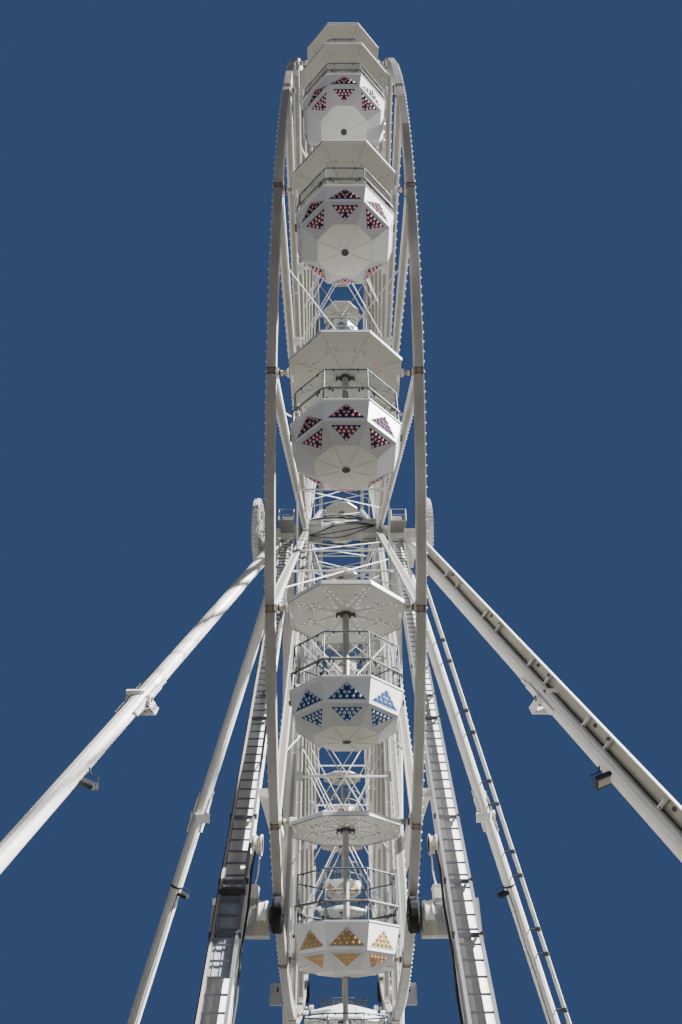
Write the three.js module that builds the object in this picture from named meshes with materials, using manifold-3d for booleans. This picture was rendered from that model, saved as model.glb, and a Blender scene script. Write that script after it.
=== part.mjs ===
// A transportable ferris wheel, from the ground up: millimetres, +Z up, the axle along X.
// The wheel turns on its axle, each cabin hangs level from a pivot between the two rims,
// and four tyres drive the rims.
import * as THREE from "three";
import { mergeVertices } from "three/addons/utils/BufferGeometryUtils.js";
import Module from "manifold-3d";

const wasm = await Module();
wasm.setup();

// Driving dimensions
const hubHeight = 19400;
const pivotRadius = 16200;
const cabinCount = 24;
const firstCabinAngle = -58.25;
const seatGap = 0.3;
const runningGap = 5;
const joinOverlap = 1;

// Rims, spokes and hub
const rimInnerX = 1250;
const rimWidth = 155;
const rimDepth = 250;
const rimFacets = 72;
const spokeWidth = 100;
const spokeDepth = 180;
const spokeHubX = 1490;
const spokeRimX = 1327;
const hubRadius = 600;
const barrelRadius = 380;
const flangeWidth = 220;
const shaftRadius = 160;
const discTubeRadius = 55;
const framesPerSector = 3;
const innerTieShare = 0.45;
const outerTieShare = 0.72;
const tieSize = 66;
const tieSides = 4;
const collarRadius = 230;
const discRadius = 1350;
const discThickness = 200;
const discX = 3490;

// Cabin, measured from its pivot
const canopyWidth = 2000;
const canopyRimDrop = 175;
const fasciaHeight = 70;
const canopyRise = 230;
const canopyHollow = 60;
const bossRadius = 80;
const bossLength = 50;
const cheekHalfWidth = 60;
const cheekThickness = 60;
const cheekSink = 5;
const poleSink = 20;
const pivotPinRadius = 35;
const poleRadius = 55;
const tubRimDrop = 1605;
const tubKneeDrop = 1980;
const tubBottomDrop = 2265;
const tubRimWidth = 1765;
const tubKneeWidth = 1590;
const tubBottomWidth = 976;
const tubWall = 45;
const tubFloorThickness = 70;
const guardHeight = 850;
const guardWidth = 1720;
const guardThickness = 36;
const benchHeight = 420;
const benchDepth = 380;
const cabinSides = 8;
const pinSides = 6;

// Towers: the centre lines of legs and struts run through these points
const lineTopZ = 18000;
const lineLowZ = 500;
const legTop = [2197, 673, lineTopZ];
const legLow = [1943, 10576, lineLowZ];
const strutTop = [2660, 850, lineTopZ];
const strutLow = [8500, 9710, lineLowZ];
const legRadius = 235;
const strutRadius = 215;
const tubeSides = 12;
const strutTopZ = 17950;
const jointZ = 9680;
const jointPinRadius = 110;
const jointPinLength = 620;
const jointPlateReach = 520;
const jointPlateThickness = 50;
const jointPlateWidth = 270;
const lugSize = [240, 380];
const tieBeamX = [1500, 1800];
const tieBeamZ = [6480, 6640];
const tieEndLength = 300;

// Tower heads
const headX = [1980, 2460];
const headFootZ = 18500;
const headSaddleZ = 18800;
const headTopZ = 19800;
const saddleHalfLength = 700;
const bearingHalfLength = 420;
const bracketReach = 2950;
const bracketHalfLength = 1000;
const bracketZ = [18250, 18750];

// Ladders
const ladderWidth = 405;
const stringerSize = 55;
const ladderForward = 370;
const ladderFootZ = 900;
const ladderTopZ = 18200;
const ladderTies = 15;
const clippedTies = [0, 7, 14];
const rungSize = 28;

// Base
const sillX = 1940;
const sillHeight = 350;
const sillWidth = 600;
const sillHalfLength = 11300;
const outriggerWidth = 520;
const outriggerEnd = 8850;
const footPadSize = 1000;
const footPadHeight = 60;
const crossBeamY = [-9000, -3300, 3300, 9000];
const crossBeamWidth = 300;
const platformHalfLength = 2900;
const platformTop = 600;
const platformThickness = 90;
const platformPostSize = 160;
const platformPostY = 2600;

// Drive units, heights and reaches from the tyre's centre
const driveAngle = 64.8;
const tyreRadius = 305;
const tyreWidth = 205;
const tyreX = 1305;
const tyreHubRadius = 130;
const tyreHubRecess = 20;
const tyreShoulder = [30, 40];
const tyreFacets = 16;
const driveShaftRadius = 60;
const gearboxX = [1457, 1720];
const motorBoxX = [1719, 2560];
const controlBoxX = [1719, 1970];
const driveHalfDepth = 200;
const gearboxZ = [-370, 130];
const motorBoxZ = [-370, 250];
const controlBoxZ = [249, 470];
const armX = [1850, 2150];
const armZ = [-190, 110];

const rad = THREE.MathUtils.degToRad;
const bayAngle = 360 / cabinCount;

// Materials
const paint = (color, roughness, metalness) =>
  new THREE.MeshStandardMaterial({ color, roughness, metalness });
const ivorySteel = paint(0xdedbd0, 0.45, 0.1);
const rimSteel = paint(0xb9b2a4, 0.5, 0.2);
const greySteel = paint(0x8d9092, 0.4, 0.6);
const cabinPaint = paint(0xe9e6dc, 0.35, 0.0);
const blackRubber = paint(0x1c1c1d, 0.85, 0.0);
const motorPaint = paint(0x4b5a66, 0.5, 0.2);
const deckSteel = paint(0x777a7c, 0.6, 0.5);
const discPaint = paint(0xe4e0d6, 0.4, 0.0);

// A closed three.js geometry as a solid that can be joined and cut.
function solid(geometry) {
  const bare = geometry.index ? geometry.toNonIndexed() : geometry.clone();
  bare.deleteAttribute("normal");
  bare.deleteAttribute("uv");
  const merged = mergeVertices(bare, 1e-3);
  return new wasm.Manifold(
    new wasm.Mesh({
      numProp: 3,
      vertProperties: merged.attributes.position.array,
      triVerts: new Uint32Array(merged.index.array),
    }),
  );
}

const join = (solids) => solids.reduce((whole, piece) => whole.add(piece));

// A joined solid back as a three.js geometry.
function geometryOf(made) {
  const mesh = made.getMesh();
  const positions = new Float32Array(mesh.numVert * 3);
  for (let i = 0; i < mesh.numVert; i++)
    positions.set(mesh.vertProperties.subarray(i * mesh.numProp, i * mesh.numProp + 3), i * 3);
  const geometry = new THREE.BufferGeometry();
  geometry.setAttribute("position", new THREE.BufferAttribute(positions, 3));
  geometry.setIndex(new THREE.BufferAttribute(new Uint32Array(mesh.triVerts), 1));
  geometry.computeVertexNormals();
  return geometry;
}

// A box given by its low and high corners.
function block(low, high) {
  const size = high.map((v, i) => v - low[i]);
  const middle = high.map((v, i) => (v + low[i]) / 2);
  return solid(new THREE.BoxGeometry(...size).translate(...middle));
}

// A post that leans from one centre to another, with both ends cut level.
function post(foot, top, sizeX, sizeY) {
  const geometry = new THREE.BoxGeometry(sizeX, sizeY, 1);
  const position = geometry.attributes.position;
  for (let i = 0; i < position.count; i++) {
    const end = position.getZ(i) > 0 ? top : foot;
    position.setXYZ(i, position.getX(i) + end[0], position.getY(i) + end[1], end[2]);
  }
  return solid(geometry);
}

// A straight bar of few sides between two points.
function bar(from, to, radius, sides) {
  const start = new THREE.Vector3(...from);
  const end = new THREE.Vector3(...to);
  const geometry = new THREE.CylinderGeometry(radius, radius, start.distanceTo(end), sides);
  geometry.rotateY(Math.PI / sides);
  const turn = new THREE.Quaternion().setFromUnitVectors(
    new THREE.Vector3(0, 1, 0),
    end.clone().sub(start).normalize(),
  );
  geometry.applyQuaternion(turn);
  const middle = start.add(end).multiplyScalar(0.5);
  return solid(geometry.translate(middle.x, middle.y, middle.z));
}

// The point of a centre line at a height, given two of its points.
const pointAt = (low, high, z) => low.map((v, i) => v + ((high[i] - v) * (z - low[2])) / (high[2] - low[2]));

// A point of one corner: side -1 is left, front -1 is the front.
const corner = (point, side, front) => [side * point[0], front * point[1], point[2]];

// A round tube along a centre line, cut level at two heights.
function levelTube(low, high, radius, z0, z1) {
  return bar(pointAt(low, high, z0 - radius), pointAt(low, high, z1 + radius), radius, tubeSides)
    .trimByPlane([0, 0, 1], z0)
    .trimByPlane([0, 0, -1], -z1);
}

// A solid of revolution from [radius to the flats, height] points, its flats facing the axes, about Z.
function turnedZ(profile, facets) {
  const toCorner = 1 / Math.cos(Math.PI / facets);
  const points = profile.map(([r, h]) => new THREE.Vector2(r * toCorner, h));
  const geometry = new THREE.LatheGeometry(points, facets, Math.PI / facets);
  return solid(geometry.rotateX(Math.PI / 2));
}

// The same about X, with [radius to the flats, x] points; a flat faces the first cabin's spoke.
function turnedX(profile, facets) {
  const toCorner = 1 / Math.cos(Math.PI / facets);
  const points = profile.map(([r, x]) => new THREE.Vector2(r * toCorner, x));
  const geometry = new THREE.LatheGeometry(points, facets, Math.PI / facets);
  return solid(geometry.rotateZ(-Math.PI / 2));
}

// One cabin about its pivot: tub with bench and guard, pole, canopy and the two pivot pins.
function cabin() {
  const half = (width) => width / 2;
  const guardTop = -canopyRimDrop - tubRimDrop + guardHeight;
  const rim = -canopyRimDrop - tubRimDrop;
  const knee = -canopyRimDrop - tubKneeDrop;
  const bottom = -canopyRimDrop - tubBottomDrop;
  const floor = bottom + tubFloorThickness;
  const guardInner = half(guardWidth) - guardThickness;
  const benchTop = floor + benchHeight;
  const tub = turnedZ(
    [
      [0, bottom],
      [half(tubBottomWidth), bottom],
      [half(tubKneeWidth), knee],
      [half(tubRimWidth), rim],
      [half(guardWidth), rim],
      [half(guardWidth), guardTop],
      [guardInner, guardTop],
      [guardInner, rim],
      [half(tubKneeWidth) - tubWall, benchTop],
      [half(tubBottomWidth) - benchDepth / 2, benchTop],
      [half(tubBottomWidth) - benchDepth / 2, floor],
      [0, floor],
    ],
    cabinSides,
  );
  const canopyEdge = -canopyRimDrop;
  const canopy = turnedZ(
    [
      [0, canopyEdge + canopyHollow],
      [half(canopyWidth) - guardThickness, canopyEdge],
      [half(canopyWidth), canopyEdge],
      [half(canopyWidth), canopyEdge + fasciaHeight],
      [0, canopyEdge + fasciaHeight + canopyRise],
    ],
    cabinSides,
  );
  const pole = bar(
    [0, 0, floor - joinOverlap],
    [0, 0, canopyEdge + canopyHollow + poleSink],
    poleRadius,
    cabinSides,
  );
  const pins = [-1, 1].map((side) => {
    const cheekInner = half(canopyWidth) - cheekThickness;
    const bossEnd = half(canopyWidth) + bossLength;
    const pinStart = bossEnd - joinOverlap;
    const boss = bar([side * cheekInner, 0, 0], [side * bossEnd, 0, 0], bossRadius, cabinSides);
    const pin = bar([side * pinStart, 0, 0], [side * (rimInnerX - seatGap), 0, 0], pivotPinRadius, pinSides);
    const cheek = block(
      [Math.min(side * cheekInner, side * half(canopyWidth)), -cheekHalfWidth, canopyEdge + cheekSink],
      [Math.max(side * cheekInner, side * half(canopyWidth)), cheekHalfWidth, 0],
    );
    return join([boss, pin, cheek]);
  });
  return geometryOf(join([tub, canopy, pole, ...pins]));
}

// Three radial frames: a spoke on each side, two cross ties, and the ring bars that lead to the next spoke.
function spokeSector() {
  const rimFace = pivotRadius - rimDepth / 2;
  const spokeFoot = hubRadius + seatGap;
  const spokeEnd = rimFace - seatGap;
  const spokeX = (r) => spokeHubX + ((spokeRimX - spokeHubX) * (r - spokeFoot)) / (spokeEnd - spokeFoot);
  const innerTie = innerTieShare * pivotRadius;
  const outerTie = outerTieShare * pivotRadius;
  const pieces = [];
  for (let i = 0; i < framesPerSector; i++) {
    const frame = [-1, 1].map((side) =>
      post(
        [side * spokeX(spokeFoot), 0, spokeFoot],
        [side * spokeX(spokeEnd), 0, spokeEnd],
        spokeDepth,
        spokeWidth,
      ),
    );
    for (const r of [innerTie, outerTie])
      frame.push(bar([-spokeX(r), 0, r], [spokeX(r), 0, r], tieSize / 2, tieSides));
    const along = rad(bayAngle);
    for (const side of [-1, 1]) {
      const x = side * spokeX(innerTie);
      const last = i === framesPerSector - 1;
      const start = new THREE.Vector3(x, 0, innerTie);
      const end = new THREE.Vector3(x, innerTie * Math.sin(along), innerTie * Math.cos(along));
      const reach = start.distanceTo(end);
      const shortBy = last ? (spokeWidth / 2 + tieSize) / reach : 0;
      frame.push(bar(start.toArray(), end.lerp(start, shortBy).toArray(), tieSize / 2, tieSides));
    }
    pieces.push(join(frame).rotate([-i * bayAngle, 0, 0]));
  }
  return geometryOf(join(pieces));
}

// A rim ring between two radii.
function rimRing(side) {
  const inner = pivotRadius - rimDepth / 2;
  const outer = pivotRadius + rimDepth / 2;
  const x0 = side > 0 ? rimInnerX : -rimInnerX - rimWidth;
  const x1 = x0 + rimWidth;
  return geometryOf(
    turnedX(
      [
        [inner, x0],
        [outer, x0],
        [outer, x1],
        [inner, x1],
        [inner, x0],
      ],
      rimFacets,
    ),
  );
}

// The barrel between the spoke flanges, the shaft through both bearings and the thin tubes to the discs.
function hubDrum() {
  const flangeOut = spokeHubX + flangeWidth / 2;
  const flangeIn = spokeHubX - flangeWidth / 2;
  const tubeEnd = discX - discThickness / 2 - seatGap;
  const shaftEnd = headX[1] + shaftRadius;
  const collarEnd = headX[0] - seatGap;
  const half = [
    [hubRadius, flangeIn],
    [hubRadius, flangeOut],
    [collarRadius, flangeOut],
    [collarRadius, collarEnd],
    [shaftRadius, collarEnd],
    [shaftRadius, shaftEnd],
    [discTubeRadius, shaftEnd],
    [discTubeRadius, tubeEnd],
    [0, tubeEnd],
  ];
  const mirrored = half.map(([r, x]) => [r, -x]).reverse();
  const barrel = [
    [barrelRadius, -flangeIn],
    [barrelRadius, flangeIn],
  ];
  return geometryOf(turnedX([...mirrored, ...barrel, ...half], cabinCount));
}

// The lit disc at each end of the shaft.
function hubDisc(side) {
  const x0 = side * discX - discThickness / 2;
  return geometryOf(
    turnedX(
      [
        [0, x0],
        [discRadius, x0],
        [discRadius, x0 + discThickness],
        [0, x0 + discThickness],
      ],
      cabinCount,
    ),
  );
}

// A block given for the right side, mirrored to the left where side is -1.
function sideBlock(side, [xIn, xOut], [y0, y1], [z0, z1]) {
  const x0 = Math.min(side * xIn, side * xOut);
  const x1 = Math.max(side * xIn, side * xOut);
  return block([x0, Math.min(y0, y1), z0], [x1, Math.max(y0, y1), z1]);
}

// A leg's tube; grown by the seat gap it cuts the seats of the things that are fixed to the leg.
function legTube(side, front, radius) {
  const low = corner(legLow, side, front);
  const high = corner(legTop, side, front);
  return levelTube(low, high, radius, sillHeight + seatGap, headFootZ - seatGap);
}

// The two legs of one side with the level tie beam that joins them on the wheel side.
function aFrame(side) {
  const tieMiddle = (tieBeamZ[0] + tieBeamZ[1]) / 2;
  const [legX, legY] = pointAt(legLow, legTop, tieMiddle);
  const ends = [-1, 1].map((front) =>
    sideBlock(
      side,
      [tieBeamX[0], legX],
      [front * (legY - tieEndLength / 2), front * (legY + tieEndLength / 2)],
      tieBeamZ,
    ),
  );
  const legs = [-1, 1].map((front) => legTube(side, front, legRadius));
  return geometryOf(join([sideBlock(side, tieBeamX, [-legY, legY], tieBeamZ), ...ends, ...legs]));
}

// The bearing block on a tower's legs, with the bracket that the struts are pinned to.
function towerHead(side) {
  const saddle = sideBlock(side, headX, [-saddleHalfLength, saddleHalfLength], [headFootZ, headSaddleZ]);
  const bearing = sideBlock(
    side,
    headX,
    [-bearingHalfLength, bearingHalfLength],
    [headSaddleZ - joinOverlap, headTopZ],
  );
  const bracket = sideBlock(
    side,
    [headX[1] - joinOverlap, bracketReach],
    [-bracketHalfLength, bracketHalfLength],
    bracketZ,
  );
  const shaftCorner = shaftRadius / Math.cos(Math.PI / cabinCount);
  const boreRadius = (shaftCorner + runningGap) / Math.cos(Math.PI / tubeSides);
  const boreEnds = [headX[0] - joinOverlap, headX[1] + joinOverlap].map((x) => [side * x, 0, hubHeight]);
  const bore = bar(...boreEnds, boreRadius, tubeSides);
  return geometryOf(join([saddle, bearing, bracket]).subtract(bore));
}

// A ladder in front of a front leg: two stringers, every fifth rung, and clips to the leg.
function ladder(side) {
  const centre = (z) => {
    const [x, y] = pointAt(legLow, legTop, z);
    return [side * x, -y - ladderForward, z];
  };
  const shifted = ([x, y, z], by) => [x + by, y, z];
  const pieces = [-1, 1].map((hand) =>
    post(
      shifted(centre(ladderFootZ), (hand * ladderWidth) / 2),
      shifted(centre(ladderTopZ), (hand * ladderWidth) / 2),
      stringerSize,
      stringerSize,
    ),
  );
  const half = rungSize / 2;
  const clips = [];
  for (let i = 0; i < ladderTies; i++) {
    const [x, y, z] = centre(ladderFootZ + ((ladderTopZ - ladderFootZ) * (i + 0.5)) / ladderTies);
    pieces.push(block([x - ladderWidth / 2, y - half, z - half], [x + ladderWidth / 2, y + half, z + half]));
    if (clippedTies.includes(i))
      clips.push(block([x - rungSize, y, z - half], [x + rungSize, y + ladderForward, z + half]));
  }
  const seats = join(clips).subtract(legTube(side, -1, legRadius + seatGap));
  return geometryOf(join([...pieces, seats]));
}

// A strut in two lengths that fold at a pinned joint, with a lug at the top.
function strut(side, front) {
  const low = corner(strutLow, side, front);
  const high = corner(strutTop, side, front);
  const tube = levelTube(low, high, strutRadius, sillHeight + seatGap, strutTopZ);
  const [x, y] = pointAt(low, high, jointZ);
  const halfPin = jointPinLength / 2;
  const pin = bar([x - halfPin, y, jointZ], [x + halfPin, y, jointZ], jointPinRadius, tubeSides);
  const plates = [-1, 1].map((hand) => {
    const beside = ([px, py, pz]) => [px + hand * (strutRadius + jointPlateThickness / 2), py, pz];
    return post(
      beside(pointAt(low, high, jointZ - jointPlateReach)),
      beside(pointAt(low, high, jointZ + jointPlateReach)),
      jointPlateThickness,
      jointPlateWidth,
    );
  });
  const lugTop = bracketZ[0] - seatGap;
  const [lugX, lugY] = pointAt(low, high, lugTop);
  const lug = block(
    [lugX - lugSize[0] / 2, lugY - lugSize[1] / 2, strutTopZ - jointPlateThickness],
    [lugX + lugSize[0] / 2, lugY + lugSize[1] / 2, lugTop],
  );
  return geometryOf(join([tube, pin, ...plates, lug]));
}

// One side of the base: the sill under the legs, and an outrigger and foot pad under each strut.
function baseSide(side) {
  const sillInner = sillX - sillWidth / 2;
  const pieces = [
    sideBlock(side, [sillInner, sillX + sillWidth / 2], [-sillHalfLength, sillHalfLength], [0, sillHeight]),
  ];
  const [footX, footY] = pointAt(strutLow, strutTop, sillHeight);
  const halfPad = footPadSize / 2;
  const halfBeam = outriggerWidth / 2;
  const padX = [footX - halfPad, footX + halfPad];
  for (const front of [-1, 1]) {
    const y = front * footY;
    pieces.push(
      sideBlock(side, [sillX, outriggerEnd], [y - halfBeam, y + halfBeam], [footPadHeight, sillHeight]),
      sideBlock(side, padX, [y - halfPad, y + halfPad], [0, footPadHeight + joinOverlap]),
    );
  }
  return geometryOf(join(pieces));
}

// The cross beams between the sills and the boarding platform that stands on posts between the middle two.
function platform() {
  const inner = sillX - sillWidth / 2 - seatGap;
  const half = crossBeamWidth / 2;
  const pieces = crossBeamY.map((y) => block([-inner, y - half, 0], [inner, y + half, sillHeight]));
  pieces.push(
    block([-half, crossBeamY[0], 0], [half, crossBeamY.at(-1), sillHeight]),
    block(
      [-inner, -platformHalfLength, platformTop - platformThickness],
      [inner, platformHalfLength, platformTop],
    ),
  );
  const halfPost = platformPostSize / 2;
  for (const x of [-inner + platformPostSize, 0, inner - platformPostSize])
    for (const y of [-platformPostY, platformPostY])
      pieces.push(
        block([x - halfPost, y - halfPost, 0], [x + halfPost, y + halfPost, platformTop - joinOverlap]),
      );
  return geometryOf(join(pieces));
}

const tyreCentre = (front) => {
  const rimCorner = (pivotRadius + rimDepth / 2) / Math.cos(Math.PI / rimFacets);
  const r = rimCorner + runningGap + tyreRadius / Math.cos(Math.PI / tyreFacets);
  return [front * r * Math.cos(rad(driveAngle)), hubHeight - r * Math.sin(rad(driveAngle))];
};

// A drive tyre about its own axle.
function tyre() {
  const half = tyreWidth / 2;
  const [inset, width] = tyreShoulder;
  const hubHalf = half - tyreHubRecess;
  return geometryOf(
    turnedX(
      [
        [0, -hubHalf],
        [tyreHubRadius, -hubHalf],
        [tyreHubRadius, -half],
        [tyreRadius - inset, -half],
        [tyreRadius, -half + width],
        [tyreRadius, half - width],
        [tyreRadius - inset, half],
        [tyreHubRadius, half],
        [tyreHubRadius, hubHalf],
        [0, hubHalf],
      ],
      tyreFacets,
    ),
  );
}

// The gearbox, motor box and control box behind a tyre, on an arm that is clamped to the leg.
function driveUnit(side, front) {
  const [y, z] = tyreCentre(front);
  const depth = [y - driveHalfDepth, y + driveHalfDepth];
  const raised = (range) => range.map((v) => v + z);
  const shaftStart = tyreX + tyreWidth / 2 - tyreHubRecess + seatGap;
  const legY = front * pointAt(legLow, legTop, z)[1];
  const arm = sideBlock(side, armX, [y, legY], raised(armZ)).subtract(
    legTube(side, front, legRadius + seatGap),
  );
  return geometryOf(
    join([
      bar([side * shaftStart, y, z], [side * (gearboxX[0] + joinOverlap), y, z], driveShaftRadius, tubeSides),
      sideBlock(side, gearboxX, depth, raised(gearboxZ)),
      sideBlock(side, motorBoxX, depth, raised(motorBoxZ)),
      sideBlock(side, controlBoxX, depth, raised(controlBoxZ)),
      arm,
    ]),
  );
}

// The scene graph
const part = new THREE.Group();

function place(parent, name, geometry, material) {
  const mesh = new THREE.Mesh(geometry, material);
  mesh.name = name;
  parent.add(mesh);
  return mesh;
}

const twoDigits = (n) => String(n).padStart(2, "0");
const sideName = (side) => (side < 0 ? "left" : "right");
const frontName = (front) => (front < 0 ? "front" : "rear");

const wheel = new THREE.Group();
wheel.position.z = hubHeight;
part.add(wheel);

const turning = new THREE.Group();
turning.rotation.x = rad(90 - firstCabinAngle);
wheel.add(turning);

place(turning, "hub_drum", hubDrum(), rimSteel);
const sectorGeometry = spokeSector();
const sectorCount = cabinCount / framesPerSector;
for (let i = 0; i < sectorCount; i++) {
  const sector = place(turning, "spokes_" + twoDigits(i + 1), sectorGeometry, ivorySteel);
  sector.rotation.x = -rad(i * framesPerSector * bayAngle);
}
for (const side of [-1, 1]) {
  place(turning, "rim_" + sideName(side), rimRing(side), rimSteel);
  place(turning, "hub_disc_" + sideName(side), hubDisc(side), discPaint);
}

const cabinGeometry = cabin();
for (let i = 0; i < cabinCount; i++) {
  const angle = rad(firstCabinAngle + i * bayAngle);
  const hung = place(wheel, "cabin_" + twoDigits(i + 1), cabinGeometry, cabinPaint);
  hung.position.set(0, -pivotRadius * Math.cos(angle), pivotRadius * Math.sin(angle));
}

const tyreGeometry = tyre();
for (const side of [-1, 1]) {
  place(part, "a_frame_" + sideName(side), aFrame(side), ivorySteel);
  place(part, "tower_head_" + sideName(side), towerHead(side), ivorySteel);
  place(part, "ladder_" + sideName(side), ladder(side), greySteel);
  place(part, "base_" + sideName(side), baseSide(side), ivorySteel);
  for (const front of [-1, 1]) {
    const cornerName = frontName(front) + "_" + sideName(side);
    place(part, "strut_" + cornerName, strut(side, front), ivorySteel);
    place(part, "drive_" + cornerName, driveUnit(side, front), motorPaint);
    const driven = place(part, "tyre_" + cornerName, tyreGeometry, blackRubber);
    driven.position.set(side * tyreX, ...tyreCentre(front));
  }
}
place(part, "platform", platform(), deckSteel);

export default part;
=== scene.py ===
import math

import bmesh
import bpy
from mathutils import Matrix, Vector


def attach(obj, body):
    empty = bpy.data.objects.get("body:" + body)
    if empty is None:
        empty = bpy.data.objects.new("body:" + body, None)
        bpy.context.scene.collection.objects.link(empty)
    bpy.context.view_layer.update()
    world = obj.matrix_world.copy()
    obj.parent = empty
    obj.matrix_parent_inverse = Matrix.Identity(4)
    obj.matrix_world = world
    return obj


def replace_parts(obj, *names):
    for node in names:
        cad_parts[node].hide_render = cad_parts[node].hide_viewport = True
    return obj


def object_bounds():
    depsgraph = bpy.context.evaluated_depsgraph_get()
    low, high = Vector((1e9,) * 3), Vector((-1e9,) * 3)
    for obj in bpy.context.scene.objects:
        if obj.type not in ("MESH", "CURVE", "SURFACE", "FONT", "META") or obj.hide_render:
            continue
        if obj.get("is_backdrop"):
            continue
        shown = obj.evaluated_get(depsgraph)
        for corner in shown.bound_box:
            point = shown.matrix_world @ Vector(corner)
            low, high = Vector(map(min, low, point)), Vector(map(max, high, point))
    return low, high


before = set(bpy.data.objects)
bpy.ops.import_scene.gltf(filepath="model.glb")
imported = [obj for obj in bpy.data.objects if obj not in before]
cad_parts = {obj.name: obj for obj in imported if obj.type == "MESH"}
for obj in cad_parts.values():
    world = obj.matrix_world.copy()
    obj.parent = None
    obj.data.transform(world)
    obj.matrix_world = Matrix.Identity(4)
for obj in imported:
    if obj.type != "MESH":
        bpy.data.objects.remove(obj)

cad_low, cad_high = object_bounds()

# The view: a wide lens just above the ground in front of the wheel, tilted far up so that the whole
# wheel stands in an upright picture of 682 by 1024.
CAMERA_PLACE = (-0.1025, -22.128, 1.8125)
CAMERA_PITCH, CAMERA_YAW, CAMERA_ROLL = 40.089, 0.138, -0.179
CAMERA_LENS, PICTURE_FAR = 23.96, 400.0

pitch, yaw, roll = (math.radians(a) for a in (CAMERA_PITCH, CAMERA_YAW, CAMERA_ROLL))
ahead = Vector((math.sin(yaw) * math.cos(pitch), math.cos(yaw) * math.cos(pitch), math.sin(pitch)))
right = Vector((math.cos(yaw), -math.sin(yaw), 0))
right = Matrix.Rotation(-roll, 3, ahead) @ right
up = right.cross(ahead)
camera_data = bpy.data.cameras.new("view_from_the_ground")
camera_data.lens = CAMERA_LENS
camera_data.clip_end = PICTURE_FAR
camera = bpy.data.objects.new("view_from_the_ground", camera_data)
bpy.context.scene.collection.objects.link(camera)
camera.matrix_world = Matrix.Translation(CAMERA_PLACE) @ Matrix((right, up, -ahead)).transposed().to_4x4()
bpy.context.scene.camera = camera

# Light and ground: a plain floor that the light makes pale, a weak even light from all round, one strong
# lamp high on the right, and a plain blue backdrop so that the ivory steel stands out.
FLOOR_HALF, FLOOR_ROUGHNESS, FLOOR_COLOR = 160.0, 0.9, (0.070, 0.067, 0.060, 1)
BACKDROP_COLOR = (0.038, 0.070, 0.170, 1)
AROUND_COLOR, AROUND_STRENGTH = (0.44, 0.62, 1.0, 1), 0.15
LAMP_FROM, LAMP_STRENGTH, LAMP_SOFTNESS = (0.80, -0.08, 0.58), 22.0, 0.03


def put(tree, kind, sockets=(), **settings):
    """Adds a node; a socket's value is a number or colour, or another node's output that is linked in."""
    made = tree.nodes.new(kind)
    for key, value in settings.items():
        setattr(made, key, value)
    for key, value in dict(sockets).items():
        if isinstance(value, bpy.types.NodeSocket):
            tree.links.new(value, made.inputs[key])
        else:
            made.inputs[key].default_value = value
    return made


def fresh_material(name):
    """An empty node material with its output and one Principled BSDF."""
    material = bpy.data.materials.new(name)
    material.use_nodes = True
    tree = material.node_tree
    tree.nodes.clear()
    surface = put(tree, "ShaderNodeBsdfPrincipled")
    out = put(tree, "ShaderNodeOutputMaterial")
    tree.links.new(surface.outputs["BSDF"], out.inputs["Surface"])
    return material, tree, surface


floor_mesh = bpy.data.meshes.new("floor")
floor_mesh.from_pydata(
    [(x * FLOOR_HALF, y * FLOOR_HALF, 0) for x, y in ((-1, -1), (1, -1), (1, 1), (-1, 1))],
    [],
    [(0, 1, 2, 3)],
)
floor_paint, _, floor_surface = fresh_material("pale_floor")
floor_surface.inputs["Base Color"].default_value = FLOOR_COLOR
floor_surface.inputs["Roughness"].default_value = FLOOR_ROUGHNESS
floor_mesh.materials.append(floor_paint)
floor = bpy.data.objects.new("floor", floor_mesh)
bpy.context.scene.collection.objects.link(floor)
floor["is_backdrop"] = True

world = bpy.data.worlds.new("soft_light_all_round")
world.use_nodes = True
bpy.context.scene.world = world
world.node_tree.nodes.clear()
seen = put(world.node_tree, "ShaderNodeLightPath")
light_color = put(
    world.node_tree, "ShaderNodeBackground", {"Color": AROUND_COLOR, "Strength": AROUND_STRENGTH}
)
seen_color = put(world.node_tree, "ShaderNodeBackground", {"Color": BACKDROP_COLOR, "Strength": 1.0})
either = put(world.node_tree, "ShaderNodeMixShader", {0: seen.outputs["Is Camera Ray"]})
world.node_tree.links.new(light_color.outputs[0], either.inputs[1])
world.node_tree.links.new(seen_color.outputs[0], either.inputs[2])
world_out = put(world.node_tree, "ShaderNodeOutputWorld")
world.node_tree.links.new(either.outputs[0], world_out.inputs["Surface"])

lamp_data = bpy.data.lights.new("high_lamp", "SUN")
lamp_data.energy = LAMP_STRENGTH
lamp_data.angle = LAMP_SOFTNESS
lamp = bpy.data.objects.new("high_lamp", lamp_data)
bpy.context.scene.collection.objects.link(lamp)
lamp.rotation_euler = Vector(LAMP_FROM).to_track_quat("Z", "Y").to_euler()

# The base: two long steel sills under the towers, an outrigger and foot pad under each strut, and cross
# beams with a boarding deck between them, all of welded plate in ivory paint that road dirt has dulled.
UP, ACROSS = Vector((0, 0, 1)), Vector((1, 0, 0))
SIDES = ((-1, "left"), (1, "right"))
CORNERS = [
    (side, front, end + "_" + name) for side, name in SIDES for front, end in ((-1, "front"), (1, "rear"))
]
IVORY = (0.80, 0.77, 0.70, 1)
ROAD_DIRT = (0.24, 0.20, 0.155, 1)
DECK_GREY = (0.30, 0.31, 0.32, 1)
STREAK_SQUEEZE, GRAIN_SCALE, GRAIN_DEPTH = 0.18, 60, 0.002
DIRT_FROM, DIRT_TO, DIRT_ROUGHER = 0.17, 0.42, 0.22
SHARP_ANGLE = math.radians(24)


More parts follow.
